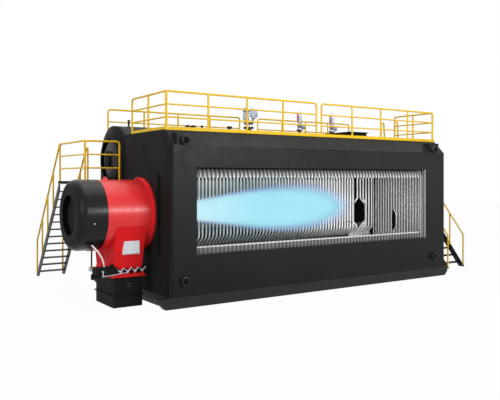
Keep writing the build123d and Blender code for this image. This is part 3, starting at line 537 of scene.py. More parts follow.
def piece(name, shape, material, replaced=(), bevel=0.0, smooth_to=0, welded=False):
    """Add a piece that rides on the boiler, smooth over edges up to an angle in degrees."""
    mesh = mesh_from(name, shape, welded)
    mesh.materials.append(material)
    for polygon in mesh.polygons:
        polygon.use_smooth = smooth_to > 0
    if smooth_to:
        mesh.set_sharp_from_angle(angle=math.radians(smooth_to))
    thing = placed(name, mesh)
    if bevel:
        rounding = thing.modifiers.new("bevel", "BEVEL")
        rounding.width = bevel
        rounding.segments = 2
        rounding.limit_method = "ANGLE"
    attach(thing, "root")
    if replaced:
        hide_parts(*replaced)


def tubes(name, paths, radius, material, sides=12, replaced=()):
    """A smooth piece made of round tubes with flat ends."""
    piece(name, sweep(paths, radius, sides), material, replaced, smooth_to=50)


def blocks(name, boxes, material, bevel=0.002):
    """A piece made of rectangular blocks, each given by two corners."""
    piece(name, merged([block(*corners) for corners in boxes]), material, bevel=bevel)


def lathed(name, parts, material, replaced=(), angle=35):
    """A smooth piece of turned parts, welded where their rims meet the axis."""
    piece(name, merged(parts), material, replaced, smooth_to=angle, welded=True)


def bolt_heads(name, places, axis, radius, height, material=BOLT_STEEL):
    """Hexagon heads that stand out along an axis, or against it where the height is negative."""
    profile = [(0, radius), (height, radius), (height, 0)]
    lathed(name, [turned(profile, place, axis, 6) for place in places], material, angle=20)


def fins(name, parts, material):
    piece(name, merged(parts), material)


def paint(material, *names):
    for name in names:
        for slot in nodes[name].material_slots:
            slot.material = material


# Furnace

def tube_xs(count):
    return [FIRST_X + k * PITCH for k in range(count)]


def gaps_between(xs):
    return [x + PITCH / 2 for x in xs[:-1]]


def at(x, outline):
    return [(x, y, z) for y, z in outline]


def furnace():
    """Tubes of the roof, the floor and the near wall, cut short where the window is."""
    upper = [(TUBE_END_Y, ROOF_Z)]
    upper += arc((NEAR_TUBE_Y + UPPER_BEND, ROOF_Z - UPPER_BEND), UPPER_BEND, 90, 180, 8)
    lower = [(TUBE_END_Y, FLOOR_Z)]
    lower += arc((NEAR_TUBE_Y + LOWER_BEND, FLOOR_Z + LOWER_BEND), LOWER_BEND, -90, -180, 7)
    stub = lower + [(NEAR_TUBE_Y, STUB_TOP)]
    full = lower + list(reversed(upper))
    xs = tube_xs(TUBE_COUNT)
    at_front, cut, at_rear = xs[:WHOLE_FRONT], xs[WHOLE_FRONT:-WHOLE_REAR], xs[-WHOLE_REAR:]
    tubes("roof_tubes", [at(x, upper) for x in cut], TUBE_R, ROOF_STEEL,
          replaced=("furnace_roof_tubes", "near_wall_bends"))
    tubes("floor_tubes", [at(x, stub) for x in cut], TUBE_R, SHADED_NEAR_STEEL,
          replaced=("furnace_floor_tubes",))
    tubes("whole_tubes", [at(x, full) for x in at_front + at_rear], TUBE_R, PALE_STEEL,
          replaced=("near_wall_tubes",))
    jamb = [[(WINDOW_REAR - JAMB_TUBE_R, y, z) for z in WINDOW_Z] for y in JAMB_TUBE_Y]
    tubes("window_edge_tubes", jamb, JAMB_TUBE_R, PALE_STEEL, sides=10)
    beside = gaps_between(at_front) + gaps_between(at_rear)
    opposite = [(NEAR_TUBE_Y, STUB_TOP), (NEAR_TUBE_Y, UPPER_CUT)]
    fins("furnace_fins", [strips(gaps_between(xs), upper, FIN_REACH),
                          strips(gaps_between(xs), stub, FIN_REACH),
                          strips(beside, opposite, FIN_REACH)], SHADED_FIN_STEEL)
    rims = []
    for z, way in ((STUB_TOP, 1), (UPPER_CUT, -1)):
        lip = way * 0.002
        rim = [(-way * CUT_BAND, RIM_R), (0, RIM_R), (lip, TUBE_R * 0.9), (lip, 0)]
        rims += [turned(rim, (x, NEAR_TUBE_Y, z), "Z", 12) for x in cut]
    lathed("cut_tube_ends", rims, CUT_STEEL)
    edge = [(NEAR_TUBE_Y, STUB_TOP - CUT_BAND), (NEAR_TUBE_Y, STUB_TOP + 0.001)]
    fins("cut_fin_edges", [strips(gaps_between(cut), edge, FIN_REACH, thick=0.03)], EDGE_STEEL)


def division():
    """The tube wall behind the flame, with fins along its straight part."""
    xs = tube_xs(DIVISION_COUNT)
    corners = [(0, DIVISION_Y, HEAD_Z), (0, DIVISION_Y, DIVISION_TURN_Z),
               (0, DIVISION_Y + FOOT_SHIFT, FOOT_Z)]
    line = [(point.y, point.z) for point in rounded(corners, DIVISION_ROUND)]
    tubes("division_tubes", [at(x, line) for x in xs], DIVISION_R, DIVISION_STEEL,
          replaced=("division_wall_tubes",))
    straight = [(DIVISION_Y, z) for z in DIVISION_FIN_Z]
    edge = xs[-1] + TUBE_R * 1.6
    fins("division_fins", [strips(gaps_between(xs), straight, FIN_REACH),
                           strips([edge], straight, TUBE_R, thick=0.012)], SHADED_WALL_FIN)


def exit_screen():
    """The open screen of tubes at the furnace's exit, bent apart round an opening."""
    foot_z, low_z, high_z, head_z = SCREEN_Z
    paths = []
    for index, (aside, back) in enumerate(SCREEN_BENDS):
        x = SCREEN_FIRST + index * SCREEN_PITCH
        points = [(x, DIVISION_Y, HEAD_Z)]
        if aside:
            points += [(x, DIVISION_Y, head_z), (x + aside, DIVISION_Y + back, high_z),
                       (x + aside, DIVISION_Y + back, low_z)]
        points += [(x, DIVISION_Y, foot_z), (x, DIVISION_Y + FOOT_SHIFT, FOOT_Z)]
        paths.append(rounded(points, SCREEN_ROUND))
    tubes("exit_tubes", paths, TUBE_R, TUBE_STEEL, replaced=("exit_screen_tubes",))
    bare = [(x, WATER_DRUM_R + 0.003) for x in (SCREEN_FIRST - 0.2, LAST_X + 0.1)]
    lathed("bare_drum_shell", [turned(bare, (0, DRUM_Y, WATER_DRUM_Z), "X", 72)], SHELL_STEEL)


def end_wall_span(y):
    """Lowest and highest z of an end-wall tube, which stops at the near wall's bends."""
    spans = []
    for radius in (LOWER_BEND, UPPER_BEND):
        into = NEAR_TUBE_Y + radius - y
        spans.append(radius - math.sqrt(radius**2 - into**2) if into > 0 else 0)
    return FLOOR_Z + spans[0], ROOF_Z - spans[1]


def throat_opening(y):
    """Lowest and highest z of the burner's throat at y, or nothing beside it."""
    off = abs(y - BURNER_Y)
    if off >= THROAT_R:
        return None
    reach = math.sqrt(THROAT_R**2 - off**2)
    return BURNER_Z - reach, BURNER_Z + reach


def spans_round(opening, low, high):
    """The stretches from low to high that an opening leaves."""
    return [(low, opening[0]), (opening[1], high)] if opening else [(low, high)]


def access_tube(y, low, high):
    """The rear wall's tube that is bent aside and inward round the access opening."""
    into, aside = LAST_X - ACCESS_SHIFT[0], y - ACCESS_SHIFT[1]
    corners = [(LAST_X, y, low), (LAST_X, y, ACCESS_Z[0]), (into, aside, ACCESS_Z[1]),
               (into, aside, ACCESS_Z[2]), (LAST_X, y, ACCESS_Z[3]), (LAST_X, y, high)]
    return rounded(corners, ACCESS_ROUND)


def end_walls():
    """The tube walls at the two ends: the front one round the burner, the rear one with access."""
    paths, parts = [], []
    clear = PITCH / 2
    fin_reach = clear - END_R * 0.9
    for k in range(END_TUBES):
        y = NEAR_TUBE_Y + PITCH * (k + 1)
        low, high = end_wall_span(y)
        if 0 < y - ACCESS_Y < PITCH:
            paths.append(access_tube(y, low, high))
        else:
            paths.append([(LAST_X, y, low), (LAST_X, y, high)])
        paths += [[(FIRST_X, y, a), (FIRST_X, y, b)]
                  for a, b in spans_round(throat_opening(y), low, high)]
        if k == END_TUBES - 1:
            continue
        gap = y + clear
        opens = abs(gap - ACCESS_Y - clear) < clear + 0.01
        access = (ACCESS_Z[0], ACCESS_Z[3]) if opens else None
        for x, opening in ((LAST_X, access), (FIRST_X, throat_opening(gap))):
            parts += [strips([gap], [(x, a), (x, b)], fin_reach, "Y")
                      for a, b in spans_round(opening, low, high)]
    last = DIVISION_Y - 0.02
    paths.append([(LAST_X, last, FLOOR_Z), (LAST_X, last, ROOF_Z)])
    tubes("end_wall_tubes", paths, END_R, END_STEEL, replaced=("end_tube_walls",))
    fins("end_wall_fins", parts, SHADED_END_FIN)


def flame():
    """Clear veils, one inside the other, that glow together as one soft flame."""
    outline = [(-4.75, 0.2), (-4.3, 0.25), (-3.53, 0.32), (-2.6, 0.46), (-1.6, 0.62), (-0.6, 0.72),
               (0.2, 0.735), (1.0, 0.68), (1.6, 0.54), (2.0, 0.36), (2.25, 0.17), (2.33, 0)]
    for level in range(FLAME_VEILS):
        share = 1 - level / FLAME_VEILS * 0.75
        shorter = 0.7 + 0.3 * share
        profile = [(FLAME_START + (x - FLAME_START) * shorter, radius * share * FLAME_WIDTH)
                   for x, radius in outline]
        lathed(f"flame_veil_{level}", [turned(profile, (0, BURNER_Y, BURNER_Z + 0.02), "X", 40)],
               flame_material(level), angle=180)


furnace()
division()
exit_screen()
end_walls()
flame()


# Casing

def seams():
    """Thin dark lines where the casing's panels meet."""
    crown = arc((DRUM_Y, DRUM_Z), DRUM_CASING_R, 0, CROWN_ARC, 24)
    lower = [(NEAR, SKID_TOP), (NEAR, WINDOW_Z[0])]
    upper = [(NEAR, WINDOW_Z[1]), (NEAR, SIDE_TOP), (NEAR + EDGE_CUT, DECK)]
    whole = [(NEAR, SKID_TOP), (NEAR, SIDE_TOP), (NEAR + EDGE_CUT, DECK)]
    round_drum = [(FAR, SKID_TOP), (FAR, DRUM_Z)] + crown
    xs = [FIRST_SEAM + k * PANEL_PITCH for k in range(PANEL_SEAMS)]
    parts = [strips(xs, outline, SEAM_HALF, thick=SEAM_THICK)
             for outline in (lower, upper, round_drum)]
    parts.append(strips([FRONT + END_SEAM, REAR - END_SEAM], whole, SEAM_HALF, thick=SEAM_THICK))
    piece("casing_seams", merged(parts), SEAM_PAINT)


def front_panel():
    """A slightly raised plate that covers the furnace's part of the front wall."""
    near, far = PLATE_Y
    outline = [(far, SKID_TOP), (far, PLATE_TOP), (near + PLATE_CUT, PLATE_TOP),
               (near, PLATE_TOP - PLATE_CUT), (near, SKID_TOP)]
    piece("front_panel", prism(outline, FRONT, FRONT - PLATE_THICK), FRONT_PAINT,
          bevel=0.003)


def rear_door():
    """Bolts and hinges of the access door in the rear wall."""
    bolts = ring_of(DOOR_BOLTS, (REAR + 0.06, ACCESS_Y, DOOR_Z), DOOR_BOLT_REACH)
    bolt_heads("casing_bolts", bolts, "X", 0.013, 0.01)
    hinges = [((REAR + 0.01, ACCESS_Y - 0.29, z), (REAR + 0.075, ACCESS_Y - 0.25, z + 0.09))
              for z in HINGE_Z]
    blocks("door_hinges", hinges, BOLT_STEEL, 0.006)


def lifting_pins():
    """Four lifting pins, each with a near-black disc of painted shade on its flat end where a recess
    would be, the upper two on wedge-shaped housings.
    """
    pins, bores, housings = [], [], []
    pin = [(0.1, 0), (0.1, PIN_R), (-0.1, PIN_R), (-0.112, 0.11), (-0.1185, 0.098), (-0.1185, 0)]
    bore = [(-0.11, 0), (-0.11, 0.094), (-0.12, 0.092), (-0.12, 0)]
    wedge = [(NEAR, SIDE_TOP), (NEAR, PIN_HOUSING_TOP),
             (NEAR + PIN_HOUSING_TOP - SIDE_TOP, PIN_HOUSING_TOP)]
    for x, start, end in PINS:
        pins += [turned(pin, (x, NEAR, z), "Y", 40) for z in PIN_Z]
        bores += [turned(bore, (x, NEAR, z), "Y", 32) for z in PIN_Z]
        housings.append(prism(wedge, start, end))
    lathed("lifting_pins", pins, PIN_PAINT, ("trunnions",))
    lathed("pin_bores", bores, BORE_SHADE)
    piece("pin_housings", merged(housings), CASING_PAINT, bevel=0.004)


seams()
front_panel()
rear_door()
lifting_pins()


# Burner

def ring_and_cap():
    """Bolts of the burner's ring, and the satin face, inner cover and screw of its cap."""
    centre = (0, BURNER_Y, BURNER_Z)
    bolts = ring_of(RING_BOLTS, (RING_FACE, BURNER_Y, BURNER_Z), (RING_BOLT_R, RING_BOLT_R),
                    start=0.5)
    bolt_heads("ring_bolts", bolts, "X", 0.014, -0.012, RED_PAINT)
    cover = [(0.01, 0), (0.01, 0.46), (-0.03, 0.45), (-0.035, 0.43), (-0.02, 0.41), (-0.02, 0)]
    cover = [(RECESS_FACE + step, radius) for step, radius in cover]
    lathed("cap_inner_cover", [turned(cover, centre, "X", 64)], SATIN_BLACK)
    skin_round = CAP_ROUND + CAP_SKIN
    face = [(CAP_END - CAP_SKIN, CAP_RECESS_R)]
    face += [(CAP_END + CAP_ROUND - skin_round * math.cos(turn),
              CAP_R - CAP_ROUND + skin_round * math.sin(turn))
             for turn in (math.radians(6 * k) for k in range(10))]
    back = [(x + 0.01, radius - 0.004) for x, radius in reversed(face)]
    lathed("cap_face", [turned(face + back, centre, "X", 96, True)], SATIN_BLACK)
    screw = [(0, 0.02), (-0.008, 0.02), (-0.012, 0.012), (-0.012, 0)]
    lathed("cap_screw", [turned(screw, CAP_SCREW, "Y", 12)], SILVER)


def hood_fittings():
    """Small parts on the air hood's side and along its flange, and black plates of painted shadow
    beside the levers.
    """
    x0, x1 = HOOD_X
    face = HOOD_Y[0]
    gasket = ((x0 - 0.07, face - 0.07, FLANGE_Z), (x1 + 0.07, face - 0.066, FLANGE_Z + 0.004))
    actuator_knob = ((-6.82, -1.30, 0.75), (-6.745, -1.22, 0.89))
    actuator_neck = ((-6.745, -1.30, 0.80), (-6.60, -1.25, 0.87))
    cable_gland = ((-6.37, -1.45, 1.06), (-6.29, -1.36, 1.12))
    blocks("actuator_fittings", [gasket, actuator_knob, cable_gland, actuator_neck], SATIN_BLACK,
           0.006)
    # Painted shadow: black plates beside each lever, standing in for the levers' shadows on the
    # hood.
    shadow_plates = []
    for x in LEVER_X:
        outline = [(x - 0.135, 0.862), (x - 0.035, 0.862), (x + 0.02, 1.0), (x - 0.06, 1.0)]
        shadow_plates.append(prism(outline, face - 0.06, face + 0.02, "Y"))
    piece("lever_shadow_plates", merged(shadow_plates), SATIN_BLACK, bevel=0.004)
    latch = [((-5.94, face - 0.02, z), (-5.82, face, z + 0.022)) for z in (0.59, 0.52)]
    blocks("intake_latch", latch, BOLT_STEEL, 0.003)
    bolts = [(x0 + 0.02 + k * (x1 - x0 - 0.04) / 6, y, FLANGE_Z) for k in range(7)
             for y in (HOOD_Y[0] - 0.045, HOOD_Y[1] + 0.045)]
    bolt_heads("flange_bolts", bolts, "Z", 0.012, 0.012)


def gas_fittings():
    """The bracket and the pilot gas valve at the burner's foot."""
    bracket = ((-6.79, -0.86, 1.435), (-6.545, -0.64, 1.458))
    blocks("gas_bracket", [bracket], HOOD_RED, 0.003)
    body = [(-6.645, 0), (-6.645, 0.064), (-6.515, 0.064), (-6.515, 0)]
    lathed("gas_valve", [turned(body, GAS_VALVE, "X", 24)], VALVE_YELLOW)
    end = [(-6.70, 0), (-6.70, 0.05), (-6.69, 0.06), (-6.645, 0.066), (-6.645, 0)]
    lathed("gas_valve_end", [turned(end, GAS_VALVE, "X", 24)], SILVER)


def junction_cover():
    """The junction box: a deep cover with a sloping rim, widest along the top, with a painted
    highlight on the rim.
    """
    rings = []
    steps = ((0, 0, 0.17, 0.17), (0, 0, 0.034, 0.1), (0.026, 0.07, 0, 0))
    for inset, drop, deep, top_deep in steps:
        x0, x1 = BOX_X[0] + inset, BOX_X[1] - inset
        z0, z1 = BOX_Z[0] + inset, BOX_Z[1] - drop
        rings.append([(x0, BOX_FACE + deep, z0), (x1, BOX_FACE + deep, z0),
                      (x1, BOX_FACE + top_deep, z1), (x0, BOX_FACE + top_deep, z1)])
    piece("junction_cover", lofted(rings), WHITE_PAINT, ("junction_box",), 0.002)
    # Painted highlight: a thin skin over the rim in the brighter white.
    proud, behind = [[[Vector(point) + Vector(step) for point in ring] for ring in rings[1:]]
                     for step in ((0, -0.0015, 0.0005), (0, 0.006, -0.004))]
    piece("junction_rim", lofted(proud + behind[::-1], "joined"), RIM_HIGHLIGHT_WHITE)


ring_and_cap()
hood_fittings()
gas_fittings()
junction_cover()


# Rails

def lifted(point, z):
    return (point.x, point.y, z)


def rail_run(start, end, base, top, bays, from_post=False):
    """Paths of a frame with rounded corners and its posts, and of its level bars."""
    start, end = Vector((*start, 0)), Vector((*end, 0))
    outline = [lifted(start, top), lifted(end, top), lifted(end, base)]
    if not from_post:
        outline.insert(0, lifted(start, base))
    posts = [start.lerp(end, k / bays) for k in range(1, bays)]
    thick = [rounded(outline, 0.085)] + [[lifted(post, base), lifted(post, top)] for post in posts]
    levels = [base + (top - base) * k / RAIL_BARS for k in range(1, RAIL_BARS)]
    thin = [[lifted(start, z), lifted(end, z)] for z in levels]
    return thick, thin


def gathered(runs):
    thick, thin = [], []
    for some_thick, some_thin in runs:
        thick += some_thick
        thin += some_thin
    return thick, thin


def pipework(name, thick, thin, replaced, corners=()):
    """One smooth piece of posts, bars and any stouter corner posts."""
    parts = [sweep(thick, POST_R, 12), sweep(thin, BAR_R), sweep(corners, CORNER_POST_R, 12)]
    piece(name, merged(parts), RAIL_PAINT, replaced, smooth_to=50)


def platform_rails():
    top = PLATFORM_Z + PLATFORM_RAIL
    runs = []
    for (first, corner, last), bays in ((FRONT_RAIL, 1), (REAR_RAIL, 2)):
        runs.append(rail_run(first, corner, PLATFORM_Z, top, bays))
        runs.append(rail_run(corner, last, PLATFORM_Z, top, 1, from_post=True))
    pipework("platform_rails", *gathered(runs), ("platform_rails_outer", "platform_rails_side"))


def stair_rail(x, foot_y, way, level, own_post):
    """One handrail of a flight: sloped from its foot post, then level to the landing."""
    def above_slope(run, height):
        return (x, foot_y + way * run, run * STAIR_SLOPE + height)

    first, last = STAIR_POSTS
    level_from = (level - PLATFORM_RAIL) / STAIR_SLOPE
    end_y = foot_y + way * (STAIR_RUN + 0.045)
    path = [above_slope(first, 0), above_slope(first, PLATFORM_RAIL),
            above_slope(level_from, PLATFORM_RAIL), (x, end_y, level)]
    if own_post:
        path.append((x, end_y, PLATFORM_Z))
    posts = [first + (last - first) * k / 3 for k in (1, 2, 3)]
    return [rounded(path, 0.05)] + [[above_slope(run, -0.08), above_slope(run, PLATFORM_RAIL)]
                                    for run in posts]


def stair_rails():
    top = PLATFORM_Z + PLATFORM_RAIL
    thick = []
    for outer, inner, foot_y, way in STAIRS:
        thick += stair_rail(outer, foot_y, way, top, False)
        thick += stair_rail(inner, foot_y, way, top - INNER_RAIL_DROP, True)
    pipework("stair_handrails", thick, [], ("stair_rails",))


def roof_rails():
    """Rails along the near edge and both ends of the roof, and two lower ones on the far side."""
    y, top = ROOF_RAIL_Y, DECK + ROOF_RAIL
    x0, x1 = ROOF_RAIL_X
    runs = [rail_run((x0, y), (ROOF_RAIL_GAP[0], y), DECK, top, 4),
            rail_run((ROOF_RAIL_GAP[1], y), (x1, y), DECK, top, 4)]
    runs += [rail_run((x, y), (x, end_y), DECK, top, 2, from_post=True)
             for x, end_y in zip(ROOF_RAIL_X, ROOF_RAIL_ENDS)]
    corners = [[(x, y, DECK), (x, y, top - 0.05)] for x in ROOF_RAIL_X]
    pipework("roof_rails", *gathered(runs), ("roof_rail_side", "roof_rail_ends"), corners)
    top = DECK + FAR_RAIL
    thick, thin = [], []
    for start, end in FAR_RAIL_SPANS:
        thick += rail_run((start, FAR_RAIL_Y), (end, FAR_RAIL_Y), FAR_RAIL_BASE, top, 4)[0]
        thin.append([(x, FAR_RAIL_Y, top - 0.38) for x in (start, end)])
    pipework("far_rails", thick, thin, ("roof_rail_far",))


def roof_ladder():
    """The ladder from the roof to the rear platform, with hoops to hold on to."""
    y0, y1 = LADDER_Y
    thick, treads = [], []
    for y in LADDER_Y:
        path = [(5.12, y, 4.598), (5.23, y, 4.598), (5.23, y, 5.42), (5.36, y, 5.42),
                (LADDER_X, y, 3.202)]
        thick.append(rounded(path, 0.06))
    for k in range(1, 5):
        z = PLATFORM_Z + (DECK - PLATFORM_Z) * k / 5
        x = LADDER_X - 0.17 * (z - PLATFORM_Z) / 2.19
        treads.append(((x - 0.06, y0, z - 0.02), (x + 0.06, y1, z)))
    pipework("ladder_rails", thick, [], ("roof_ladder",))
    blocks("ladder_treads", treads, RAIL_PAINT, 0.003)


def walkway_trim():
    """Edge frames under the gratings and a nosing on every tread."""
    z0, z1 = PLATFORM_Z - 0.09, PLATFORM_Z - 0.001
    edges = [((-6.44, 0.391, z0), (-6.43, 2.739, z1)), ((-6.44, 0.391, z0), (-5.36, 0.40, z1)),
             ((5.36, -0.399, z0), (6.64, -0.39, z1)), ((7.55, 1.106, z0), (7.56, 2.409, z1))]
    blocks("platform_edges", edges, STAIR_PAINT)
    nosings = []
    for *rails, foot_y, way in STAIRS:
        for k in range(1, STAIR_RISES):
            z = PLATFORM_Z * k / STAIR_RISES - TREAD_DROP
            y0 = foot_y + way * (STAIR_RUN * k / STAIR_RISES - 0.05)
            y1 = y0 + way * 0.03
            nosings.append(((min(rails) + 0.016, min(y0, y1), z - 0.034),
                            (max(rails) - 0.016, max(y0, y1), z + 0.003)))
    blocks("tread_nosings", nosings, STAIR_PAINT)


platform_rails()
stair_rails()
roof_rails()
roof_ladder()
walkway_trim()


# Fittings on the drum's ridge and the flue

def safety_valves():
    """Two spring valves with a side outlet, a lever, a hoop on top and two rods."""
    flanges, bodies, levers, hoops, rods = [], [], [], [], []
    flange = [(-0.02, 0), (-0.02, 0.05), (0.14, 0.05), (0.14, 0.11), (0.185, 0.11), (0.185, 0)]
    body = [(0.186, 0), (0.186, 0.105), (0.21, 0.105), (0.215, 0.07), (0.25, 0.065),
            (0.3, 0.095), (0.38, 0.095), (0.395, 0.105), (0.42, 0.105), (0.425, 0.06),
            (0.48, 0.052), (0.66, 0.05), (0.67, 0.06), (0.7, 0.06), (0.71, 0.04),
            (0.76, 0.038), (0.77, 0)]
    outlet = [(0.02, 0.05), (0.17, 0.05), (0.17, 0.085), (0.2, 0.085), (0.2, 0.05),
              (0.19, 0.048), (0.1, 0.045), (0.1, 0)]
    lever_top, hoop_foot, hoop_top = DRUM_RIDGE + 0.79, DRUM_RIDGE + 0.74, DRUM_RIDGE + 0.88
    for x in VALVE_X:
        flanges.append(turned(flange, (x, DRUM_Y, DRUM_RIDGE), "Z", 32))
        bodies.append(turned(body, (x, DRUM_Y, DRUM_RIDGE), "Z", 32))
        bodies.append(turned(outlet, (x, DRUM_Y, DRUM_RIDGE + 0.285), "X", 28))
        outer = (x - 0.12, DRUM_Y - 0.03)
        levers.append(((*outer, DRUM_RIDGE + 0.47), (x - 0.085, DRUM_Y, lever_top)))
        levers.append(((*outer, lever_top - 0.025), (x - 0.03, DRUM_Y, lever_top)))
        hoop = [(x - 0.045, DRUM_Y, hoop_foot), (x - 0.045, DRUM_Y, hoop_top),
                (x + 0.045, DRUM_Y, hoop_top), (x + 0.045, DRUM_Y, hoop_foot)]
        hoops.append(rounded(hoop, 0.045))
        rods += [[(x + off, DRUM_Y - 0.055, DRUM_RIDGE + z) for z in (0.43, 0.69)]
                 for off in (-0.06, 0.06)]
    lathed("valve_flanges", flanges, BLACK_GLOSS)
    lathed("valve_bodies", bodies, SILVER, ("safety_valves",))
    blocks("valve_levers", levers, RED_PAINT, 0.004)
    tubes("valve_hoops", hoops, 0.008, SILVER, 8)
    tubes("valve_rods", rods, 0.008, BOLT_STEEL, 8)


def steam_vessel():
    """The main steam valve: a flange, four legs and a banded body with a round face."""
    x, base = VESSEL_X, DRUM_RIDGE - 0.02
    place = (x, DRUM_Y, base)
    flange = [(0, 0), (0, 0.07), (0.1, 0.07), (0.1, 0.1), (0.14, 0.1), (0.14, 0.18),
              (0.2, 0.18), (0.2, 0)]
    lathed("vessel_flange", [turned(flange, place, "Z", 40)], BLACK_GLOSS)
    body = [(0.285, 0), (0.285, 0.13), (0.33, 0.19), (0.36, 0.197), (0.76, 0.197),
            (0.81, 0.188), (0.87, 0.15), (0.91, 0.085), (0.92, 0)]
    disc = [(-0.19, 0), (-0.19, 0.05), (-0.185, 0.055), (-0.18, 0.10), (-0.18, 0.145),
            (-0.16, 0.157), (-0.02, 0.157), (0.0, 0.14), (0.0, 0)]
    side = (x + 0.085, DRUM_Y - 0.06, DRUM_RIDGE + 0.6)
    lathed("vessel_body", [turned(body, place, "Z"), turned(disc, side, "Y", 40)], SILVER,
           ("main_steam_valve",))
    legs = [[(*spot[:2], base + z) for z in (0.19, 0.33)]
            for spot in ring_of(4, place, (0.12, 0.12), "Z", 0.5)]
    tubes("vessel_legs", legs, 0.014, SILVER, 8)
    bands = [turned([(z, 0.19), (z, 0.201), (z + 0.025, 0.201), (z + 0.025, 0.19)], place, "Z",
                    joined=True) for z in (0.38, 0.72)]
    lathed("vessel_bands", bands, BOLT_STEEL)
    bolts = ring_of(8, (x, DRUM_Y, base + 0.2), (0.15, 0.15), "Z")
    bolt_heads("vessel_bolts", bolts, "Z", 0.014, 0.015)


def ridge_fittings():
    """Stub valves along the drum's ridge: two domed ones, and three with flat heads."""
    dome = [(-0.02, 0), (-0.02, 0.07), (0.05, 0.07), (0.06, 0.085), (0.11, 0.085), (0.14, 0.06),
            (0.15, 0)]
    parts = [turned(dome, (x, DRUM_Y, DRUM_RIDGE), "Z", 28) for x in DOMED_STUBS_X]
    for x, top, reach in FLAT_STUBS:
        stub = [(-0.02, 0), (-0.02, 0.028), (top - 0.04, 0.028), (top - 0.036, reach),
                (top, reach), (top, 0)]
        parts.append(turned(stub, (x, DRUM_Y, DRUM_RIDGE), "Z", 24))
    lathed("ridge_stubs", parts, SATIN_BLACK)


def flue_fittings():
    """Bolts under the flue's wide rim."""
    under = DECK + 0.275
    x0, x1 = FLUE_X[0] - FLUE_RIM, FLUE_X[1] + FLUE_RIM
    y0, y1 = FLUE_Y[0] - FLUE_RIM, FLUE_Y[1] + FLUE_RIM
    bolts = [(x0 + 0.02 + k * (x1 - x0 - 0.04) / 6, y, under) for k in range(7)
             for y in (y0 + 0.022, y1 - 0.022)]
    bolts += [(x, y0 + 0.02 + k * (y1 - y0 - 0.04) / 12, under) for k in range(1, 12)
              for x in (x0 + 0.022, x1 - 0.022)]
    bolt_heads("flue_bolts", bolts, "Z", 0.012, -0.012)


safety_valves()
steam_vessel()
ridge_fittings()
flue_fittings()


# Finishes of the CAD nodes that stay; the casing paint carries painted shade

paint(REFRACTORY, "burner_throat")
paint(CASING_PAINT, "casing_floor", "near_wall_lower", "near_wall_piers", "near_wall_upper",
      "far_wall", "roof_deck", "drum_casing", "rear_wall", "rear_access_door")
paint(FRONT_PAINT, "front_wall", "burner_mount_plate", "drum_end_covers")
paint(SKID_PAINT, "skid_beams", "skid_cross_members")
paint(DRUM_PAINT, "steam_drum", "water_drum", "manhole_covers")
paint(RED_PAINT, "burner_body")
paint(HOOD_RED, "air_hood")
paint(BLACK_GLOSS, "burner_cap", "drum_nozzles", "pilot_gas_train")
paint(SATIN_BLACK, "intake_box", "damper_actuator", "flue_outlet")
paint(ZINC, "damper_linkage")
paint(CONDUIT, "burner_hose")
paint(STAIR_PAINT, "platform_supports", "stair_stringers")
paint(GRATING, "platform_decks", "rear_landing", "stair_treads")
paint(RAIL_PAINT, "kick_plates")


# Camera, light and backdrop

def photo_camera():
    camera = bpy.data.cameras.new("camera")
    camera.sensor_width = 36.0
    camera.lens = CAMERA_LENS
    camera.shift_y = CAMERA_SHIFT
    camera.clip_end = 200
    holder = placed("camera", camera)
    holder.location = CAMERA_PLACE
    holder.rotation_euler = (math.radians(90), 0, math.radians(CAMERA_TURN))
    bpy.context.scene.camera = holder


def lamp(name, place, aim, size, power):
    """A soft rectangular lamp that the camera doesn't see."""
    light = bpy.data.lights.new(name, "AREA")
    light.shape = "RECTANGLE"
    light.size, light.size_y = size
    light.energy = power
    stand = placed(name, light)
    stand.location = place
    stand.visible_camera = False
    stand.rotation_euler = (Vector(aim) - Vector(place)).to_track_quat("-Z", "Y").to_euler()


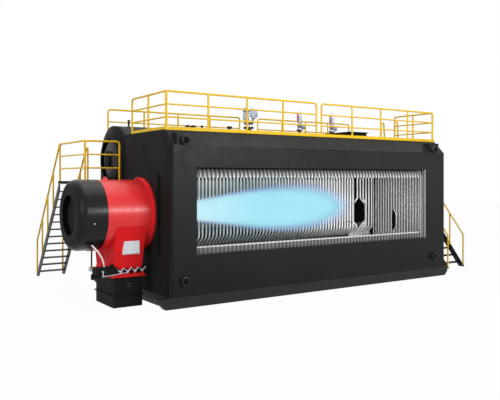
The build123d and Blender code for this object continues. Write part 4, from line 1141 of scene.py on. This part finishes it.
def seen_directly(tree, plain, white):
    """Show the white shader to the camera, mirrors and glass, and the plain one to the rest."""
    path = tree.nodes.new("ShaderNodeLightPath")
    total = path.outputs["Is Camera Ray"]
    for name in ("Is Glossy Ray", "Is Transmission Ray"):
        add = tree.nodes.new("ShaderNodeMath")
        add.operation = "MAXIMUM"
        tree.links.new(total, add.inputs[0])
        tree.links.new(path.outputs[name], add.inputs[1])
        total = add.outputs[0]
    mix = tree.nodes.new("ShaderNodeMixShader")
    tree.links.new(total, mix.inputs[0])
    tree.links.new(plain.outputs[0], mix.inputs[1])
    tree.links.new(white.outputs[0], mix.inputs[2])
    return mix.outputs[0]


def backdrop():
    """A world that looks white and lights the object at a plain level."""
    world = bpy.data.worlds.new("world")
    bpy.context.scene.world = world
    world.use_nodes = True
    tree = world.node_tree
    tree.nodes.clear()
    output = tree.nodes.new("ShaderNodeOutputWorld")
    shaders = []
    for strength in (0.55, 1.0):
        shader = tree.nodes.new("ShaderNodeBackground")
        shader.inputs["Color"].default_value = (1, 1, 1, 1)
        shader.inputs["Strength"].default_value = strength
        shaders.append(shader)
    tree.links.new(seen_directly(tree, *shaders), output.inputs[0])


def floor():
    """A pale floor that fades to white and keeps a soft shadow."""
    size = 60
    corners = [(-size, -size, 0), (size, -size, 0), (size, size, 0), (-size, size, 0)]
    mesh = mesh_from("floor", (corners, [(0, 1, 2, 3)]))
    material, tree, output = empty_material("floor_white")
    shader = tree.nodes.new("ShaderNodeBsdfPrincipled")
    shader.inputs["Base Color"].default_value = (0.5, 0.5, 0.5, 1)
    shader.inputs["Roughness"].default_value = 0.9
    shader.inputs["Specular IOR Level"].default_value = 0.0
    white = tree.nodes.new("ShaderNodeEmission")
    white.inputs["Color"].default_value = (1, 1, 1, 1)
    shadow = tree.nodes.new("ShaderNodeMixShader")
    shadow.inputs[0].default_value = 0.97
    tree.links.new(shader.outputs[0], shadow.inputs[1])
    tree.links.new(white.outputs[0], shadow.inputs[2])
    tree.links.new(seen_directly(tree, shader, shadow), output.inputs[0])
    mesh.materials.append(material)
    thing = placed("floor", mesh)


photo_camera()
lamp("key", (1, -15, 6.2), (-1, 0, 2.4), (8, 1.5), 900)
lamp("front", (-17, -5, 6), (-5, 0, 2.4), (7, 5), 380)
lamp("top", (0, 0, 15), (0, 0, 0), (12, 12), 620)
lamp("furnace", (0, -2.1, 2.5), (0, 1, 2.35), (8.6, 1.6), 165)
backdrop()
floor()
bpy.context.scene.view_settings.view_transform = "Standard"
